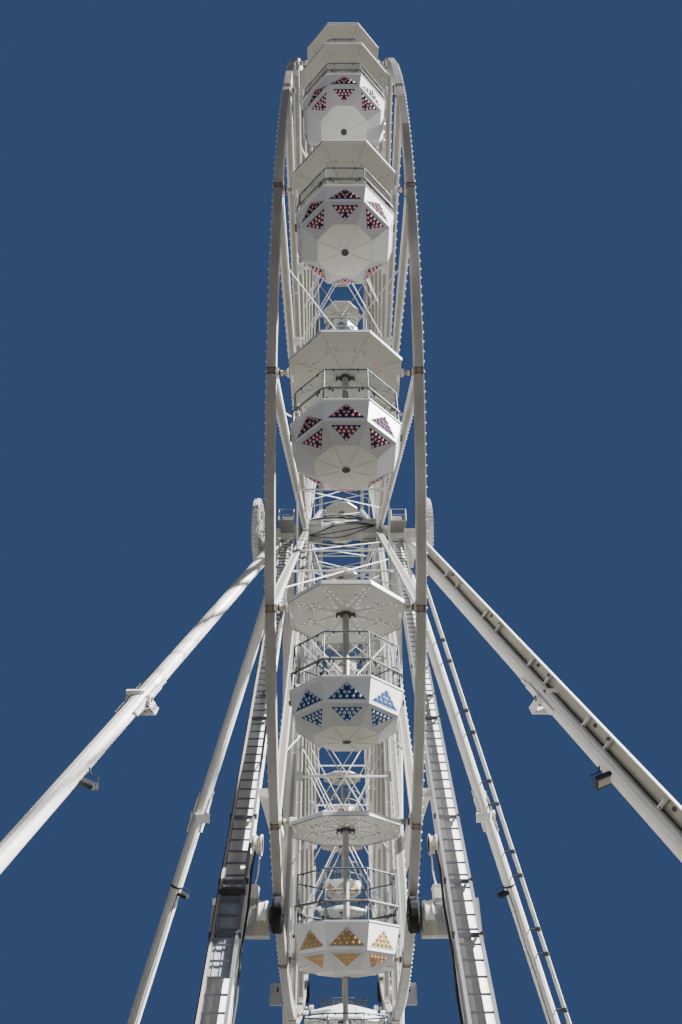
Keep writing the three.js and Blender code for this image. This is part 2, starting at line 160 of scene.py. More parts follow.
def new_group(name, inputs, outputs):
    """A shader node group with named inputs and outputs, and its two end nodes."""
    tree = bpy.data.node_groups.new(name, "ShaderNodeTree")
    for label, kind, value in inputs:
        tree.interface.new_socket(label, in_out="INPUT", socket_type=kind).default_value = value
    for label, kind in outputs:
        tree.interface.new_socket(label, in_out="OUTPUT", socket_type=kind)
    return tree, put(tree, "NodeGroupInput").outputs, put(tree, "NodeGroupOutput").inputs


def weather_group():
    """Streaks that run down, blotches and fine grain, mixed over a paint colour."""
    tree, given, result = new_group(
        "weathered_paint",
        [
            ("Paint", "NodeSocketColor", IVORY),
            ("Dirt", "NodeSocketColor", ROAD_DIRT),
            ("Dirt Amount", "NodeSocketFloat", 0.3),
            ("Patch Size", "NodeSocketFloat", 0.5),
            ("Base Roughness", "NodeSocketFloat", 0.45),
        ],
        [("Color", "NodeSocketColor"), ("Roughness", "NodeSocketFloat"), ("Height", "NodeSocketFloat")],
    )
    place = put(tree, "ShaderNodeTexCoord").outputs["Object"]
    squeezed = put(tree, "ShaderNodeMapping", {"Vector": place, "Scale": (1, 1, STREAK_SQUEEZE)}).outputs[0]
    per_metre = put(tree, "ShaderNodeMath", {0: 1.0, 1: given["Patch Size"]}, operation="DIVIDE").outputs[0]
    streaks = put(
        tree, "ShaderNodeTexNoise", {"Vector": squeezed, "Scale": per_metre, "Detail": 8, "Roughness": 0.65}
    ).outputs["Fac"]
    patches = put(
        tree, "ShaderNodeTexNoise", {"Vector": place, "Scale": per_metre, "Detail": 4, "Roughness": 0.6}
    ).outputs["Fac"]
    grain = put(tree, "ShaderNodeTexNoise", {"Vector": place, "Scale": GRAIN_SCALE, "Detail": 3}).outputs["Fac"]
    both = put(tree, "ShaderNodeMath", {0: streaks, 1: patches}, operation="MULTIPLY").outputs[0]
    mask = put(
        tree, "ShaderNodeMapRange", {"Value": both, "From Min": DIRT_FROM, "From Max": DIRT_TO}, clamp=True
    ).outputs[0]
    share = put(tree, "ShaderNodeMath", {0: mask, 1: given["Dirt Amount"]}, operation="MULTIPLY").outputs[0]
    mixed = put(
        tree, "ShaderNodeMix", {"Factor": share, 6: given["Paint"], 7: given["Dirt"]}, data_type="RGBA"
    )
    rougher = put(
        tree, "ShaderNodeMath", {0: mask, 1: DIRT_ROUGHER, 2: given["Base Roughness"]}, operation="MULTIPLY_ADD"
    )
    tree.links.new(mixed.outputs[2], result["Color"])
    tree.links.new(rougher.outputs[0], result["Roughness"])
    tree.links.new(grain, result["Height"])
    return tree


WEATHER = weather_group()


def weathered(name, paint, dirt=ROAD_DIRT, amount=0.3, patch=0.5, rough=0.45, metal=0.0, grain=0.15):
    """A painted or bare surface with dirt, streaks and a fine grain of its own."""
    material, tree, surface = fresh_material(name)
    look = put(tree, "ShaderNodeGroup", node_tree=WEATHER)
    values = {"Paint": paint, "Dirt": dirt, "Dirt Amount": amount, "Patch Size": patch, "Base Roughness": rough}
    for label, value in values.items():
        look.inputs[label].default_value = value
    height = {"Height": look.outputs["Height"], "Strength": grain, "Distance": GRAIN_DEPTH}
    bump = put(tree, "ShaderNodeBump", height)
    tree.links.new(look.outputs["Color"], surface.inputs["Base Color"])
    tree.links.new(look.outputs["Roughness"], surface.inputs["Roughness"])
    tree.links.new(bump.outputs[0], surface.inputs["Normal"])
    surface.inputs["Metallic"].default_value = metal
    return material


def dressed(node, material):
    """Gives a CAD node its real finish."""
    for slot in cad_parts[node].material_slots:
        slot.material = material


def box_between(bm, a, b, wide, deep, across=ACROSS, finish=0):
    """A rectangular bar from a to b; wide is measured along the across direction."""
    a, b = Vector(a), Vector(b)
    along = (b - a).normalized()
    side = (Vector(across) - along * along.dot(Vector(across))).normalized()
    turn = Matrix((side, along.cross(side), along)).transposed().to_4x4()
    size = Matrix.Diagonal((wide, deep, (b - a).length, 1))
    made = bmesh.ops.create_cube(bm, size=1, matrix=Matrix.Translation((a + b) / 2) @ turn @ size)
    return finished_faces(made["verts"], finish)


def upright(bm, middle, half, wide, deep, across=ACROSS, finish=0):
    """A rectangular bar that stands as far above its middle as below it."""
    return box_between(bm, middle - UP * half, middle + UP * half, wide, deep, across, finish)


def rod_between(bm, a, b, radius, sides=10, finish=0):
    """A round rod from a to b."""
    a, b = Vector(a), Vector(b)
    turn = (b - a).to_track_quat("Z", "Y").to_matrix().to_4x4()
    place = Matrix.Translation((a + b) / 2) @ turn
    made = bmesh.ops.create_cone(
        bm, cap_ends=True, segments=sides, radius1=radius, radius2=radius, depth=(b - a).length, matrix=place
    )
    return finished_faces(made["verts"], finish)


def cross_rod(bm, start, end, y, z, radius, sides=10, finish=0):
    """A round rod across the wheel, from one x to another."""
    return rod_between(bm, (start, y, z), (end, y, z), radius, sides, finish)


def finished_faces(verts, finish):
    """Sets the number of the finish on the faces that a maker has just added."""
    for face in {f for v in verts for f in v.link_faces}:
        face.material_index = finish
    return verts


def mesh_of(name, bm, *materials):
    """Turns a built shape into a mesh with its finishes."""
    mesh = bpy.data.meshes.new(name)
    bm.to_mesh(mesh)
    bm.free()
    for material in materials:
        mesh.materials.append(material)
    return mesh


def piece_of(name, mesh, body, smooth=False):
    """An object at the origin that rides on a body."""
    if smooth:
        mesh.shade_smooth()
        mesh.set_sharp_from_angle(angle=SHARP_ANGLE)
    piece = bpy.data.objects.new(name, mesh)
    bpy.context.scene.collection.objects.link(piece)
    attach(piece, body)
    return piece


def built(name, bm, body, slot, *materials):
    """A built shape as a finished piece."""
    return piece_of(name, mesh_of(name, bm, *materials), body)


sill_paint = weathered("sill_paint", IVORY, amount=0.55, patch=0.8, rough=0.5)
deck_steel = weathered("deck_steel", DECK_GREY, amount=0.5, patch=0.25, rough=0.5, metal=0.5, grain=0.5)
for _, name in SIDES:
    dressed("base_" + name, sill_paint)
dressed("platform", deck_steel)

# The towers: on each side two round legs lean in to the bearing, welded tube in ivory paint, stood on thick
# foot plates, with a cable drum beside each.
LEG_TOP, LEG_LOW = Vector((2.197, 0.673, 18.0)), Vector((1.943, 10.576, 0.5))
LEG_RADIUS, LEG_FOOT = 0.235, 0.35
PLATE_WIDE, PLATE_LONG, PLATE_THICK = 0.58, 0.80, 0.04
WEB_COUNT, WEB_REACH, WEB_TALL, WEB_SIZE = 8, 0.265, 0.16, (0.10, 0.014)
DRUM_Z, DRUM_RADIUS = 5.4, 0.19
DRUM_PARTS = (
    (1.62, 1.782, DRUM_RADIUS * 0.82, 1), (1.62, 1.65, DRUM_RADIUS, 0), (1.75, 1.782, DRUM_RADIUS, 0)
)


def on_line(low, high, z):
    """The point of a leaning line at a height."""
    return low + (high - low) * ((z - low.z) / (high.z - low.z))


def corner(point, side, front):
    """A point given for the right rear, moved to one of the four corners."""
    return Vector((side * point[0], front * point[1], point[2]))


# The legs' ivory is a darker copy of the struts' paint: painted shade.
leg_paint = weathered("leg_paint", (0.67, 0.65, 0.60, 1), amount=0.28, patch=1.1, rough=0.4)
drum_cable = weathered("drum_cable", (0.66, 0.62, 0.52, 1), (0.30, 0.27, 0.22, 1), 0.5, 0.04, 0.55, grain=0.6)
strut_paint = weathered("strut_paint", (0.82, 0.80, 0.75, 1), amount=0.22, patch=1.0, rough=0.38)
for side, name in SIDES:
    dressed("a_frame_" + name, leg_paint)
    shape = bmesh.new()
    for front in (-1, 1):
        low, high = corner(LEG_LOW, side, front), corner(LEG_TOP, side, front)
        foot = on_line(low, high, LEG_FOOT)
        box_between(shape, foot, foot + UP * PLATE_THICK, PLATE_WIDE, PLATE_LONG)
        for i in range(WEB_COUNT):
            turn = Matrix.Rotation(math.pi * (i + 0.5) / 4, 3, "Z")
            web = foot + turn @ Vector((WEB_REACH, 0, PLATE_THICK))
            box_between(shape, web, web + UP * WEB_TALL, *WEB_SIZE, turn @ ACROSS)
        leg_y = on_line(low, high, DRUM_Z).y
        for start, end, radius, finish in DRUM_PARTS:
            cross_rod(shape, side * start, side * end, leg_y, DRUM_Z, radius, 24, finish)
    built("leg_fittings_" + name, shape, "frame", "ivory_paint", leg_paint, drum_cable)

# The ladders: pairs of folded steel stringers clipped in front of the two front legs, with a square rung
# every quarter metre, stiffer cross bars on brackets, and a ribbed cover plate behind the left one's foot.
LADDER_WIDE, LADDER_FORWARD, STRINGER = 0.405, 0.37, 0.055
LADDER_LOW, LADDER_HIGH, RUNG_COUNT, RUNG_SIZE = 0.9, 18.2, 75, 0.03
BRACKET_HEIGHTS, BRACKET_PAST, BRACKET_GAP = (3.7, 4.6, 5.9, 8.6, 9.4, 10.5), 0.05, 0.19
COVER_LOW, COVER_TOP, COVER_FOLDS, COVER_HEAD_HALF = 3.1, 4.4, (-0.12, 0.0, 0.12), 0.24
GUARD_LOW, GUARD_HIGH = 1.0, 17.9
STRINGER_CABLE_LOW, STRINGER_CABLE_STEP, STRINGER_CABLE_COUNT, STRINGER_CABLE_ASIDE = 1.0, 0.9, 14, 0.235
LEG_CABLE_HEIGHTS = (0.7, 1.4, 2.1, 2.8, 3.5, 4.2, 4.9, 5.25)
DRUM_HOSE = (
    (1.66, -7.79, 5.23), (1.665, -7.76, 5.1), (1.68, -7.62, 5.0), (1.72, -7.40, 4.9), (1.78, -7.20, 4.81)
)


def node_tree(name, inputs):
    """A geometry tree with named inputs; it ends in Realize Instances and Set Material."""
    tree = bpy.data.node_groups.new(name, "GeometryNodeTree")
    for label, kind in (("Geometry", "NodeSocketGeometry"), *inputs, ("Material", "NodeSocketMaterial")):
        tree.interface.new_socket(label, in_out="INPUT", socket_type=kind)
    tree.interface.new_socket("Geometry", in_out="OUTPUT", socket_type="NodeSocketGeometry")
    return tree, put(tree, "NodeGroupInput").outputs


def close_tree(tree, made, material, smooth=False):
    """Realizes what a tree has placed, and gives it its finish."""
    solid = put(tree, "GeometryNodeRealizeInstances", {"Geometry": made}).outputs[0]
    shaded = put(tree, "GeometryNodeSetShadeSmooth", {"Geometry": solid, "Shade Smooth": smooth}).outputs[0]
    coloured = put(tree, "GeometryNodeSetMaterial", {"Geometry": shaded, "Material": material}).outputs[0]
    out = put(tree, "NodeGroupOutput")
    tree.links.new(coloured, out.inputs["Geometry"])
    return tree


def grown(name, tree, mesh, body, slot=None, **inputs):
    """A plain mesh that a tree makes from another mesh, as a piece if it rides on a body."""
    carrier = bpy.data.objects.new(name, mesh)
    bpy.context.scene.collection.objects.link(carrier)
    maker = carrier.modifiers.new("maker", "NODES")
    maker.node_group = tree
    for item in tree.interface.items_tree:
        key = item.name.lower().replace(" ", "_")
        if item.in_out == "INPUT" and key in inputs:
            maker[item.identifier] = inputs[key]
    bpy.context.view_layer.update()
    plain = bpy.data.meshes.new_from_object(carrier.evaluated_get(bpy.context.evaluated_depsgraph_get()))
    bpy.data.objects.remove(carrier)
    plain.name = name
    return plain if body is None else piece_of(name, plain, body)


def lines_mesh(name, runs):
    """A mesh of bare edges: each run is a list of points joined in order."""
    points, edges = [], []
    for run in runs:
        edges += [(len(points) + i, len(points) + i + 1) for i in range(len(run) - 1)]
        points += [tuple(p) for p in run]
    mesh = bpy.data.meshes.new(name)
    mesh.from_pydata(points, edges, [])
    return mesh


def steps_tree():
    """Bars set square across a line at even steps, as rungs are."""
    sizes = [("Count", "NodeSocketInt"), ("Bar Length", "NodeSocketFloat"), ("Bar Size", "NodeSocketFloat")]
    tree, given = node_tree("bars_across_a_line", sizes)
    line = put(tree, "GeometryNodeMeshToCurve", {"Mesh": given["Geometry"]}).outputs[0]
    places = put(tree, "GeometryNodeResampleCurve", {"Curve": line, "Count": given["Count"]}).outputs[0]
    edges = {"X": given["Bar Length"], "Y": given["Bar Size"], "Z": given["Bar Size"]}
    size = put(tree, "ShaderNodeCombineXYZ", edges).outputs[0]
    bar = put(tree, "GeometryNodeMeshCube", {"Size": size}).outputs[0]
    bars = put(tree, "GeometryNodeInstanceOnPoints", {"Points": places, "Instance": bar}).outputs[0]
    return close_tree(tree, bars, given["Material"])


def rods_tree():
    """Round rods along every line of a mesh, closed at their ends."""
    tree, given = node_tree("rods_on_lines", [("Radius", "NodeSocketFloat"), ("Sides", "NodeSocketInt")])
    line = put(tree, "GeometryNodeMeshToCurve", {"Mesh": given["Geometry"]}).outputs[0]
    size = {"Resolution": given["Sides"], "Radius": given["Radius"]}
    ring = put(tree, "GeometryNodeCurvePrimitiveCircle", size).outputs[0]
    swept = {"Curve": line, "Profile Curve": ring, "Fill Caps": True}
    return close_tree(tree, put(tree, "GeometryNodeCurveToMesh", swept).outputs[0], given["Material"])


STEPS, RODS = steps_tree(), rods_tree()
galvanised = weathered("galvanised", (0.50, 0.51, 0.53, 1), (0.30, 0.29, 0.28, 1), 0.5, 0.12, 0.42, 0.55, 0.3)
dark_steel = weathered("dark_steel", (0.045, 0.047, 0.05, 1), (0.12, 0.11, 0.10, 1), 0.5, 0.2, 0.5, 0.3)
ladder_white = weathered("ladder_white", (0.80, 0.79, 0.76, 1), amount=0.3, patch=0.6, rough=0.45)
ladder_rose = weathered("ladder_rose", (0.62, 0.47, 0.38, 1), (0.36, 0.25, 0.18, 1), 0.5, 0.5, 0.5)
ladder_steel = weathered("ladder_steel", (0.27, 0.28, 0.30, 1), (0.12, 0.11, 0.10, 1), 0.5, 0.3, 0.5, 0.3)
rung_grey = weathered("rung_grey", (0.17, 0.18, 0.20, 1), (0.10, 0.095, 0.09, 1), 0.5, 0.1, 0.5, 0.4, 0.3)
cover_grey = weathered("cover_grey", (0.50, 0.52, 0.56, 1), (0.20, 0.19, 0.18, 1), 0.4, 0.3, 0.75, 0.15)
cable_black = weathered("cable_black", (0.02, 0.02, 0.022, 1), (0.10, 0.095, 0.09, 1), 0.4, 0.3, 0.6)


def ladder_point(side, z, across=0.0, behind=0.0):
    """A point of a ladder's middle plane, moved across it or behind it."""
    middle = on_line(corner(LEG_LOW, side, -1), corner(LEG_TOP, side, -1), z)
    return middle + Vector((across, -LADDER_FORWARD + behind, 0))


for side, name in SIDES:
    dressed("ladder_" + name, ladder_steel)
    step = (LADDER_HIGH - LADDER_LOW) / RUNG_COUNT
    ends = [ladder_point(side, z) for z in (LADDER_LOW + step / 2, LADDER_HIGH - step / 2)]
    grown("rungs_" + name, STEPS, lines_mesh("rung_line", [ends]), "frame", "ivory_paint",
          count=RUNG_COUNT, bar_length=LADDER_WIDE, bar_size=RUNG_SIZE, material=rung_grey)
    shape = bmesh.new()
    reach = LADDER_WIDE / 2 + BRACKET_PAST
    for z in BRACKET_HEIGHTS:
        box_between(shape, *(ladder_point(side, z, hand * reach, 0.05) for hand in (-1, 1)), 0.07, 0.035, UP, 2)
        for hand in (-1, 1):
            start = ladder_point(side, z, hand * reach * 0.96)
            arm = Vector((-hand * 0.07, LADDER_FORWARD - BRACKET_GAP, 0))
            box_between(shape, start, start + arm, 0.03, 0.04)
            upright(shape, start, 0.045, 0.05, 0.07, finish=1)
    built("ladder_brackets_" + name, shape, "frame", "ivory_paint", ladder_white, dark_steel, rung_grey)

shape = bmesh.new()
low, high = (ladder_point(-1, z, 0, 0.06) for z in (COVER_LOW, COVER_TOP))
box_between(shape, low, high, LADDER_WIDE - STRINGER, 0.006)
for across in COVER_FOLDS:
    fold = Vector((across, -0.008, 0))
    box_between(shape, low + fold, high + fold, 0.014, 0.012)
guard = Vector((-LADDER_WIDE / 2 - 0.006, -STRINGER / 2 - 0.004, 0))
box_between(shape, *(ladder_point(-1, z) + guard for z in (GUARD_LOW, GUARD_HIGH)), 0.034, 0.012, finish=2)
head, half = ladder_point(-1, COVER_TOP, 0, -0.01), ACROSS * COVER_HEAD_HALF
box_between(shape, head - half, head + half, 0.09, 0.10, UP, 1)
built("ladder_cover", shape, "frame", None, cover_grey, dark_steel, ladder_rose)

for side, name in SIDES:
    leg = corner(LEG_LOW, side, -1), corner(LEG_TOP, side, -1)
    runs = [[on_line(*leg, z) + Vector((-side * (LEG_RADIUS + 0.02 + 0.03 * (i % 2)), -0.08, 0))
             for i, z in enumerate(LEG_CABLE_HEIGHTS)]]
    if side < 0:
        heights = [STRINGER_CABLE_LOW + STRINGER_CABLE_STEP * i for i in range(STRINGER_CABLE_COUNT)]
        runs.insert(0, [ladder_point(side, z, side * STRINGER_CABLE_ASIDE, 0.03 + 0.012 * (i % 2))
                        for i, z in enumerate(heights)])
    grown("leg_cables_" + name, RODS, lines_mesh("cables", runs), "frame",
          radius=0.022, sides=8, material=cable_black)
    hose = [(side * x, y, z) for x, y, z in DRUM_HOSE]
    grown("drum_hose_" + name, RODS, lines_mesh("hoses", [hose]), "frame",
          radius=0.016, sides=8, material=ladder_white)

# The struts: round tubes that fold at a pinned joint half way up, with lugs and a pin boss at the joint,
# a floodlight under each, and on the right side a steel channel on stand-offs that carries the cables.
STRUT_TOP, STRUT_LOW, STRUT_RADIUS = Vector((2.66, 0.85, 18.0)), Vector((8.5, 9.71, 0.5)), 0.215
JOINT_Z, LUG_ASIDE, PIN_RISE, SADDLE_DROP = 9.68, 0.24, 0.24, 0.40
PIN_PARTS = ((0.21, 0.075, 0), (0.24, 0.045, 1))
CHANNEL_LOW, CHANNEL_HIGH, CHANNEL_DEEP = 0.24, 0.56, 0.13
RAIL_LOW, RAIL_TOP, REAR_RAIL_ASIDE = 2.2, 17.2, 0.56
CLAMP_HEIGHTS, CLAMP_STEP = (3.5, 5.8, 8.1, 10.3, 12.6, 15.0), 0.42
FLOODLIGHT_Z, FLOODLIGHT_HANGS = {-1: 7.55, 1: 7.5}, {-1: -0.20, 1: -0.06}
LAMP_HALF, LAMP_WINDOW_HALF, LAMP_DROP, LAMP_RIBS = 0.23, 0.18, 0.24, 9
LAMP_CABLE_HEIGHTS = (0.8, 1.8, 2.8, 3.8, 4.8, 5.8, 6.8, 7.45)


def strut_axes(side, front):
    """A strut's two end points, its direction, and the square directions upward and outward from it."""
    low, high = corner(STRUT_LOW, side, front), corner(STRUT_TOP, side, front)
    along = (high - low).normalized()
    upward = (UP - along * along.z).normalized()
    return low, high, along, upward, along.cross(upward) * side


def fold_joint(bm, joint, along, upward):
    """A strut's joint: lugs with bosses on both sides, a pin above and a plate below."""
    for hand in (-1, 1):
        lug = Vector((hand * LUG_ASIDE, 0, 0))
        box_between(bm, joint + lug - upward * 0.10, joint + lug - upward * 0.42, 0.03, 0.34)
        rod_between(bm, joint + lug * 1.08, joint + lug * 1.36, 0.15, 16)
        rod_between(bm, joint + lug * 1.30, joint + lug * 1.44, 0.08, 12, 1)
        box_between(bm, joint + lug + along * 0.52, joint + lug * 1.1 + along * 0.86, 0.03, 0.1)
    pin, saddle = joint + upward * PIN_RISE, joint - upward * SADDLE_DROP
    for reach, radius, finish in PIN_PARTS:
        rod_between(bm, pin - ACROSS * reach, pin + ACROSS * reach, radius, 16, finish)
    box_between(bm, saddle - ACROSS * 0.25, saddle + ACROSS * 0.25, 0.05, 0.32, upward)


def clamp_places(low, high, along):
    """Where the pairs of clamps sit along a strut, each with its side of the pair."""
    return [
        (on_line(low, high, z) + along * pair * CLAMP_STEP, pair) for z in CLAMP_HEIGHTS for pair in (-1, 1)
    ]


def cable_channel(bm, low, high, along, upward, outward):
    """The front strut's channel: web, two flanges, a rib and a stay at each clamp, and a dark disc as painted
    shade for a hole.
    """
    start, end = on_line(low, high, RAIL_LOW), on_line(low, high, RAIL_TOP)
    middle, web = upward * (CHANNEL_LOW + CHANNEL_HIGH) / 2, outward * CHANNEL_DEEP / 2
    box_between(bm, start + middle + web, end + middle + web, CHANNEL_HIGH - CHANNEL_LOW, 0.012, upward, 2)
    for rise, thick, finish in ((CHANNEL_LOW, 0.012, 1), (CHANNEL_HIGH, 0.03, 0)):
        box_between(bm, start + upward * rise, end + upward * rise, thick, CHANNEL_DEEP, upward, finish)
    for place, pair in clamp_places(low, high, along):
        box_between(bm, place + upward * 0.20, place + upward * (CHANNEL_HIGH - 0.01), 0.02, 0.12, along, 3)
        # A dark disc on the web: painted shade for a hole through it.
        hole_shade_disc = place + upward * 0.42 - along * pair * 0.17
        rod_between(bm, hole_shade_disc + outward * 0.045, hole_shade_disc + outward * 0.058, 0.055, 14, 1)
        stay = place + along * 0.06 - outward * 0.05
        rod_between(bm, stay + upward * 0.14, stay + upward * 0.44, 0.022, 10)
        rod_between(bm, stay + upward * 0.13, stay + upward * 0.19, 0.032, 10, 1)


def rear_rail(bm, low, high, along, outward):
    """The rear strut's slim rail, held by a dark arm and clip at each clamp."""
    aside = -outward * REAR_RAIL_ASIDE
    box_between(bm, *(on_line(low, high, z) + aside for z in (RAIL_LOW, RAIL_TOP)), 0.13, 0.07, outward)
    for place, _ in clamp_places(low, high, along):
        box_between(bm, place - outward * 0.18, place + aside + outward * 0.06, 0.045, 0.05, along, 1)
        box_between(bm, place + aside + along * 0.07, place + aside - along * 0.07, 0.16, 0.10, outward, 1)


def floodlight(bm, hung, aim, sideways):
    """A flat flood lamp on a stirrup: dark case with cooling ribs, and its window as finish 1."""
    aim, sideways = Vector(aim).normalized(), Vector(sideways).normalized()
    face, half = aim.cross(sideways), sideways * LAMP_HALF
    for hand in (-1, 1):
        arm = hung + sideways * hand * LAMP_HALF
        box_between(bm, arm, arm + aim * LAMP_DROP, 0.03, 0.008, face)
    box_between(bm, hung - half, hung + half, 0.03, 0.008, face)
    middle = hung + aim * LAMP_DROP
    box_between(bm, middle - half, middle + half, 0.09, 0.34, aim)
    for i in range(LAMP_RIBS):
        rib = middle - aim * 0.045 + sideways * (i - LAMP_RIBS // 2) * 0.05
        box_between(bm, rib, rib - aim * 0.05, 0.30, 0.010, face)
    glass, half = middle + aim * 0.042, sideways * LAMP_WINDOW_HALF
    box_between(bm, glass - half, glass + half, 0.012, 0.24, aim, 1)


# The channel's web is a darker beige than its ivory flange: painted shade under the top flange.
channel_beige = weathered("channel_beige", (0.46, 0.42, 0.34, 1), amount=0.4, patch=0.5, rough=0.5)
lamp_case = weathered("lamp_case", (0.018, 0.019, 0.022, 1), (0.05, 0.05, 0.05, 1), 0.4, 0.1, 0.6, grain=0.2)
lamp_window = weathered("lamp_window", (0.40, 0.37, 0.31, 1), (0.25, 0.23, 0.20, 1), 0.3, 0.05, 0.15)
for side, front, name in CORNERS:
    dressed("strut_" + name, strut_paint)
    low, high, along, upward, outward = strut_axes(side, front)
    shape = bmesh.new()
    fold_joint(shape, on_line(low, high, JOINT_Z), along, upward)
    built("strut_joint_" + name, shape, "frame", "ivory_paint", strut_paint, dark_steel)
    under = [on_line(low, high, z) - upward * (STRUT_RADIUS + 0.02) + outward * 0.03 * (i % 2)
             for i, z in enumerate(LAMP_CABLE_HEIGHTS)]
    grown("lamp_cable_" + name, RODS, lines_mesh("cable", [under]), "frame",
          radius=0.014, sides=6, material=cable_black)
    if side > 0:
        shape = bmesh.new()
        if front < 0:
            cable_channel(shape, low, high, along, upward, outward)
        else:
            rear_rail(shape, low, high, along, outward)
        built("strut_rail_" + name, shape, "frame", "ivory_paint",
              strut_paint, dark_steel, channel_beige, galvanised)
    shape = bmesh.new()
    band = on_line(low, high, FLOODLIGHT_Z[front])
    if front > 0:
        rod_between(shape, band - along * 0.03, band + along * 0.03, STRUT_RADIUS + 0.02, 24)
    hung = band + Vector((-side * 0.27, front * 0.02, FLOODLIGHT_HANGS[front]))
    rod_between(shape, band + Vector((-side * 0.19, 0, -0.03)), hung, 0.022, 8)
    tip = -0.42 if side > 0 and front < 0 else 0.3
    floodlight(shape, hung, (side * 0.22, tip, -0.88), (side * 0.93, 0, 0.35))
    built("floodlight_" + name, shape, "frame", None, lamp_case, lamp_window)

# The tower heads: welded boxes on the legs that hold the axle's bearings, with bolted caps, brackets for
# the struts, and a small railed service step in front of each.
HEAD_IN, HEAD_MIDDLE, HEAD_OUT, HEAD_TOP, SADDLE_TOP = 1.98, 2.22, 2.46, 19.8, 18.8
HUB_Z = 19.4
BOLT_REACH, CAP_RADIUS, BRACKET_Y = 0.30, 0.31, 0.55
STEP_FRONT, STEP_BACK, STEP_WIDE, STEP_THICK = -1.45, -0.7, 0.62, 0.04
RAIL_CORNERS, RAIL_RISES = ((1.93, -0.72), (1.93, -1.43), (2.51, -1.43), (2.51, -0.72)), (0.30, 0.58)
head_paint = weathered("head_paint", IVORY, amount=0.4, patch=0.4, rough=0.45)
rail_steel = weathered("rail_steel", (0.42, 0.43, 0.45, 1), (0.24, 0.23, 0.22, 1), 0.45, 0.2, 0.4, 0.6)
for side, name in SIDES:
    dressed("tower_head_" + name, head_paint)
    shape = bmesh.new()
    for x in (HEAD_IN - 0.03, HEAD_OUT + 0.03):
        for y in (-BOLT_REACH, BOLT_REACH):
            for z in (HUB_Z - BOLT_REACH, HUB_Z + BOLT_REACH):
                cross_rod(shape, side * x, side * (x + 0.03), y, z, 0.03, 6, 1)
        cross_rod(shape, side * x - 0.02, side * x + 0.02, 0, HUB_Z, CAP_RADIUS, 32)
    for y in (-BRACKET_Y, BRACKET_Y):
        for x in (HEAD_IN + 0.02, HEAD_OUT - 0.02):
            bracket = (side * x, y, SADDLE_TOP), (side * x, y * 0.8, HUB_Z + 0.2)
            box_between(shape, *bracket, 0.03, 0.02, (0, 1, 0))
    box_between(shape, *((side * HEAD_MIDDLE, y, HEAD_TOP + 0.015) for y in (-0.45, 0.45)), 0.5, 0.03)
    built("bearing_caps_" + name, shape, "frame", "ivory_paint", head_paint, dark_steel)
    shape = bmesh.new()
    ends = ((side * HEAD_MIDDLE, y, SADDLE_TOP - STEP_THICK / 2) for y in (STEP_FRONT, STEP_BACK))
    box_between(shape, *ends, STEP_WIDE, STEP_THICK)
    built("service_step_" + name, shape, "frame", "deck_steel", deck_steel)
    runs = [[(side * x, y, SADDLE_TOP), (side * x, y, SADDLE_TOP + RAIL_RISES[-1])]
            for x, y in sorted(RAIL_CORNERS)]
    runs += [[(side * x, y, SADDLE_TOP + rise) for x, y in RAIL_CORNERS] for rise in RAIL_RISES]
    grown("step_rails_" + name, RODS, lines_mesh("rails", runs), "frame", "galvanised_steel",
          radius=0.018, sides=8, material=rail_steel)

# The hub: a welded drum between two spoke flanges on a through shaft, bolted round both flanges, and at
# each end of the shaft a big round lamp disc of moulded plastic on a six-part steel frame, with bulbs.
AXLE = Vector((0, 0, HUB_Z))
PIVOT_RADIUS, BAYS, FIRST_CABIN = 16.2, 24, -58.25
FIRST_ANGLE, BAY = math.radians(90 - FIRST_CABIN), 2 * math.pi / BAYS
SPOKE_HUB_X, SPOKE_RIM_X = 1.49, 1.327
BARREL_RADIUS, BARREL_PROUD, BARREL_HALF, HUB_RINGS = 0.38, 0.07, 1.37, (-0.85, -0.3, 0.3, 0.85)
CABLE_HALF, BUNDLES, STRANDS, CABLE_STEPS = 1.34, 4, 4, 16
DISC_X, DISC_HALF, DISC_RADIUS, DISC_SECTORS = 3.49, 0.10, 1.35, 6
DISC_HOOPS, DISC_BULB_ROWS, DISC_BULB_STEPS = (0.50, 0.86, 1.16), (0.5, 0.9, DISC_RADIUS - 0.06), 48


def bays_tree():
    """Repeats one bay of the wheel round the axle; a bay is built with its radius upwards."""
    inputs = [("Count", "NodeSocketInt"), ("First Angle", "NodeSocketFloat")]
    tree, given = node_tree("bays_round_the_axle", inputs)
    line = {"Count": given["Count"], "Start Location": AXLE, "Offset": (0, 0, 0)}
    points = put(tree, "GeometryNodeMeshLine", line).outputs[0]
    number = put(tree, "GeometryNodeInputIndex").outputs[0]
    step = put(tree, "ShaderNodeMath", {0: 2 * math.pi, 1: given["Count"]}, operation="DIVIDE").outputs[0]
    passed = put(tree, "ShaderNodeMath", {0: number, 1: step}, operation="MULTIPLY").outputs[0]
    angle = put(tree, "ShaderNodeMath", {0: given["First Angle"], 1: passed}, operation="SUBTRACT").outputs[0]
    turn = put(tree, "ShaderNodeCombineXYZ", {"X": angle}).outputs[0]
    placed = {"Points": points, "Instance": given["Geometry"], "Rotation": turn}
    return close_tree(tree, put(tree, "GeometryNodeInstanceOnPoints", placed).outputs[0], given["Material"])


def bulbs_tree():
    """Small round bulbs at even steps along every line of a mesh."""
    tree, given = node_tree("bulbs_on_lines", [("Spacing", "NodeSocketFloat"), ("Radius", "NodeSocketFloat")])
    line = put(tree, "GeometryNodeMeshToCurve", {"Mesh": given["Geometry"]}).outputs[0]
    spaced = {"Curve": line, "Length": given["Spacing"]}
    places = put(tree, "GeometryNodeResampleCurve", spaced, mode="LENGTH").outputs[0]
    bulb = put(tree, "GeometryNodeMeshIcoSphere", {"Radius": given["Radius"], "Subdivisions": 1}).outputs[0]
    bulbs = put(tree, "GeometryNodeInstanceOnPoints", {"Points": places, "Instance": bulb}).outputs[0]
    return close_tree(tree, bulbs, given["Material"], smooth=True)


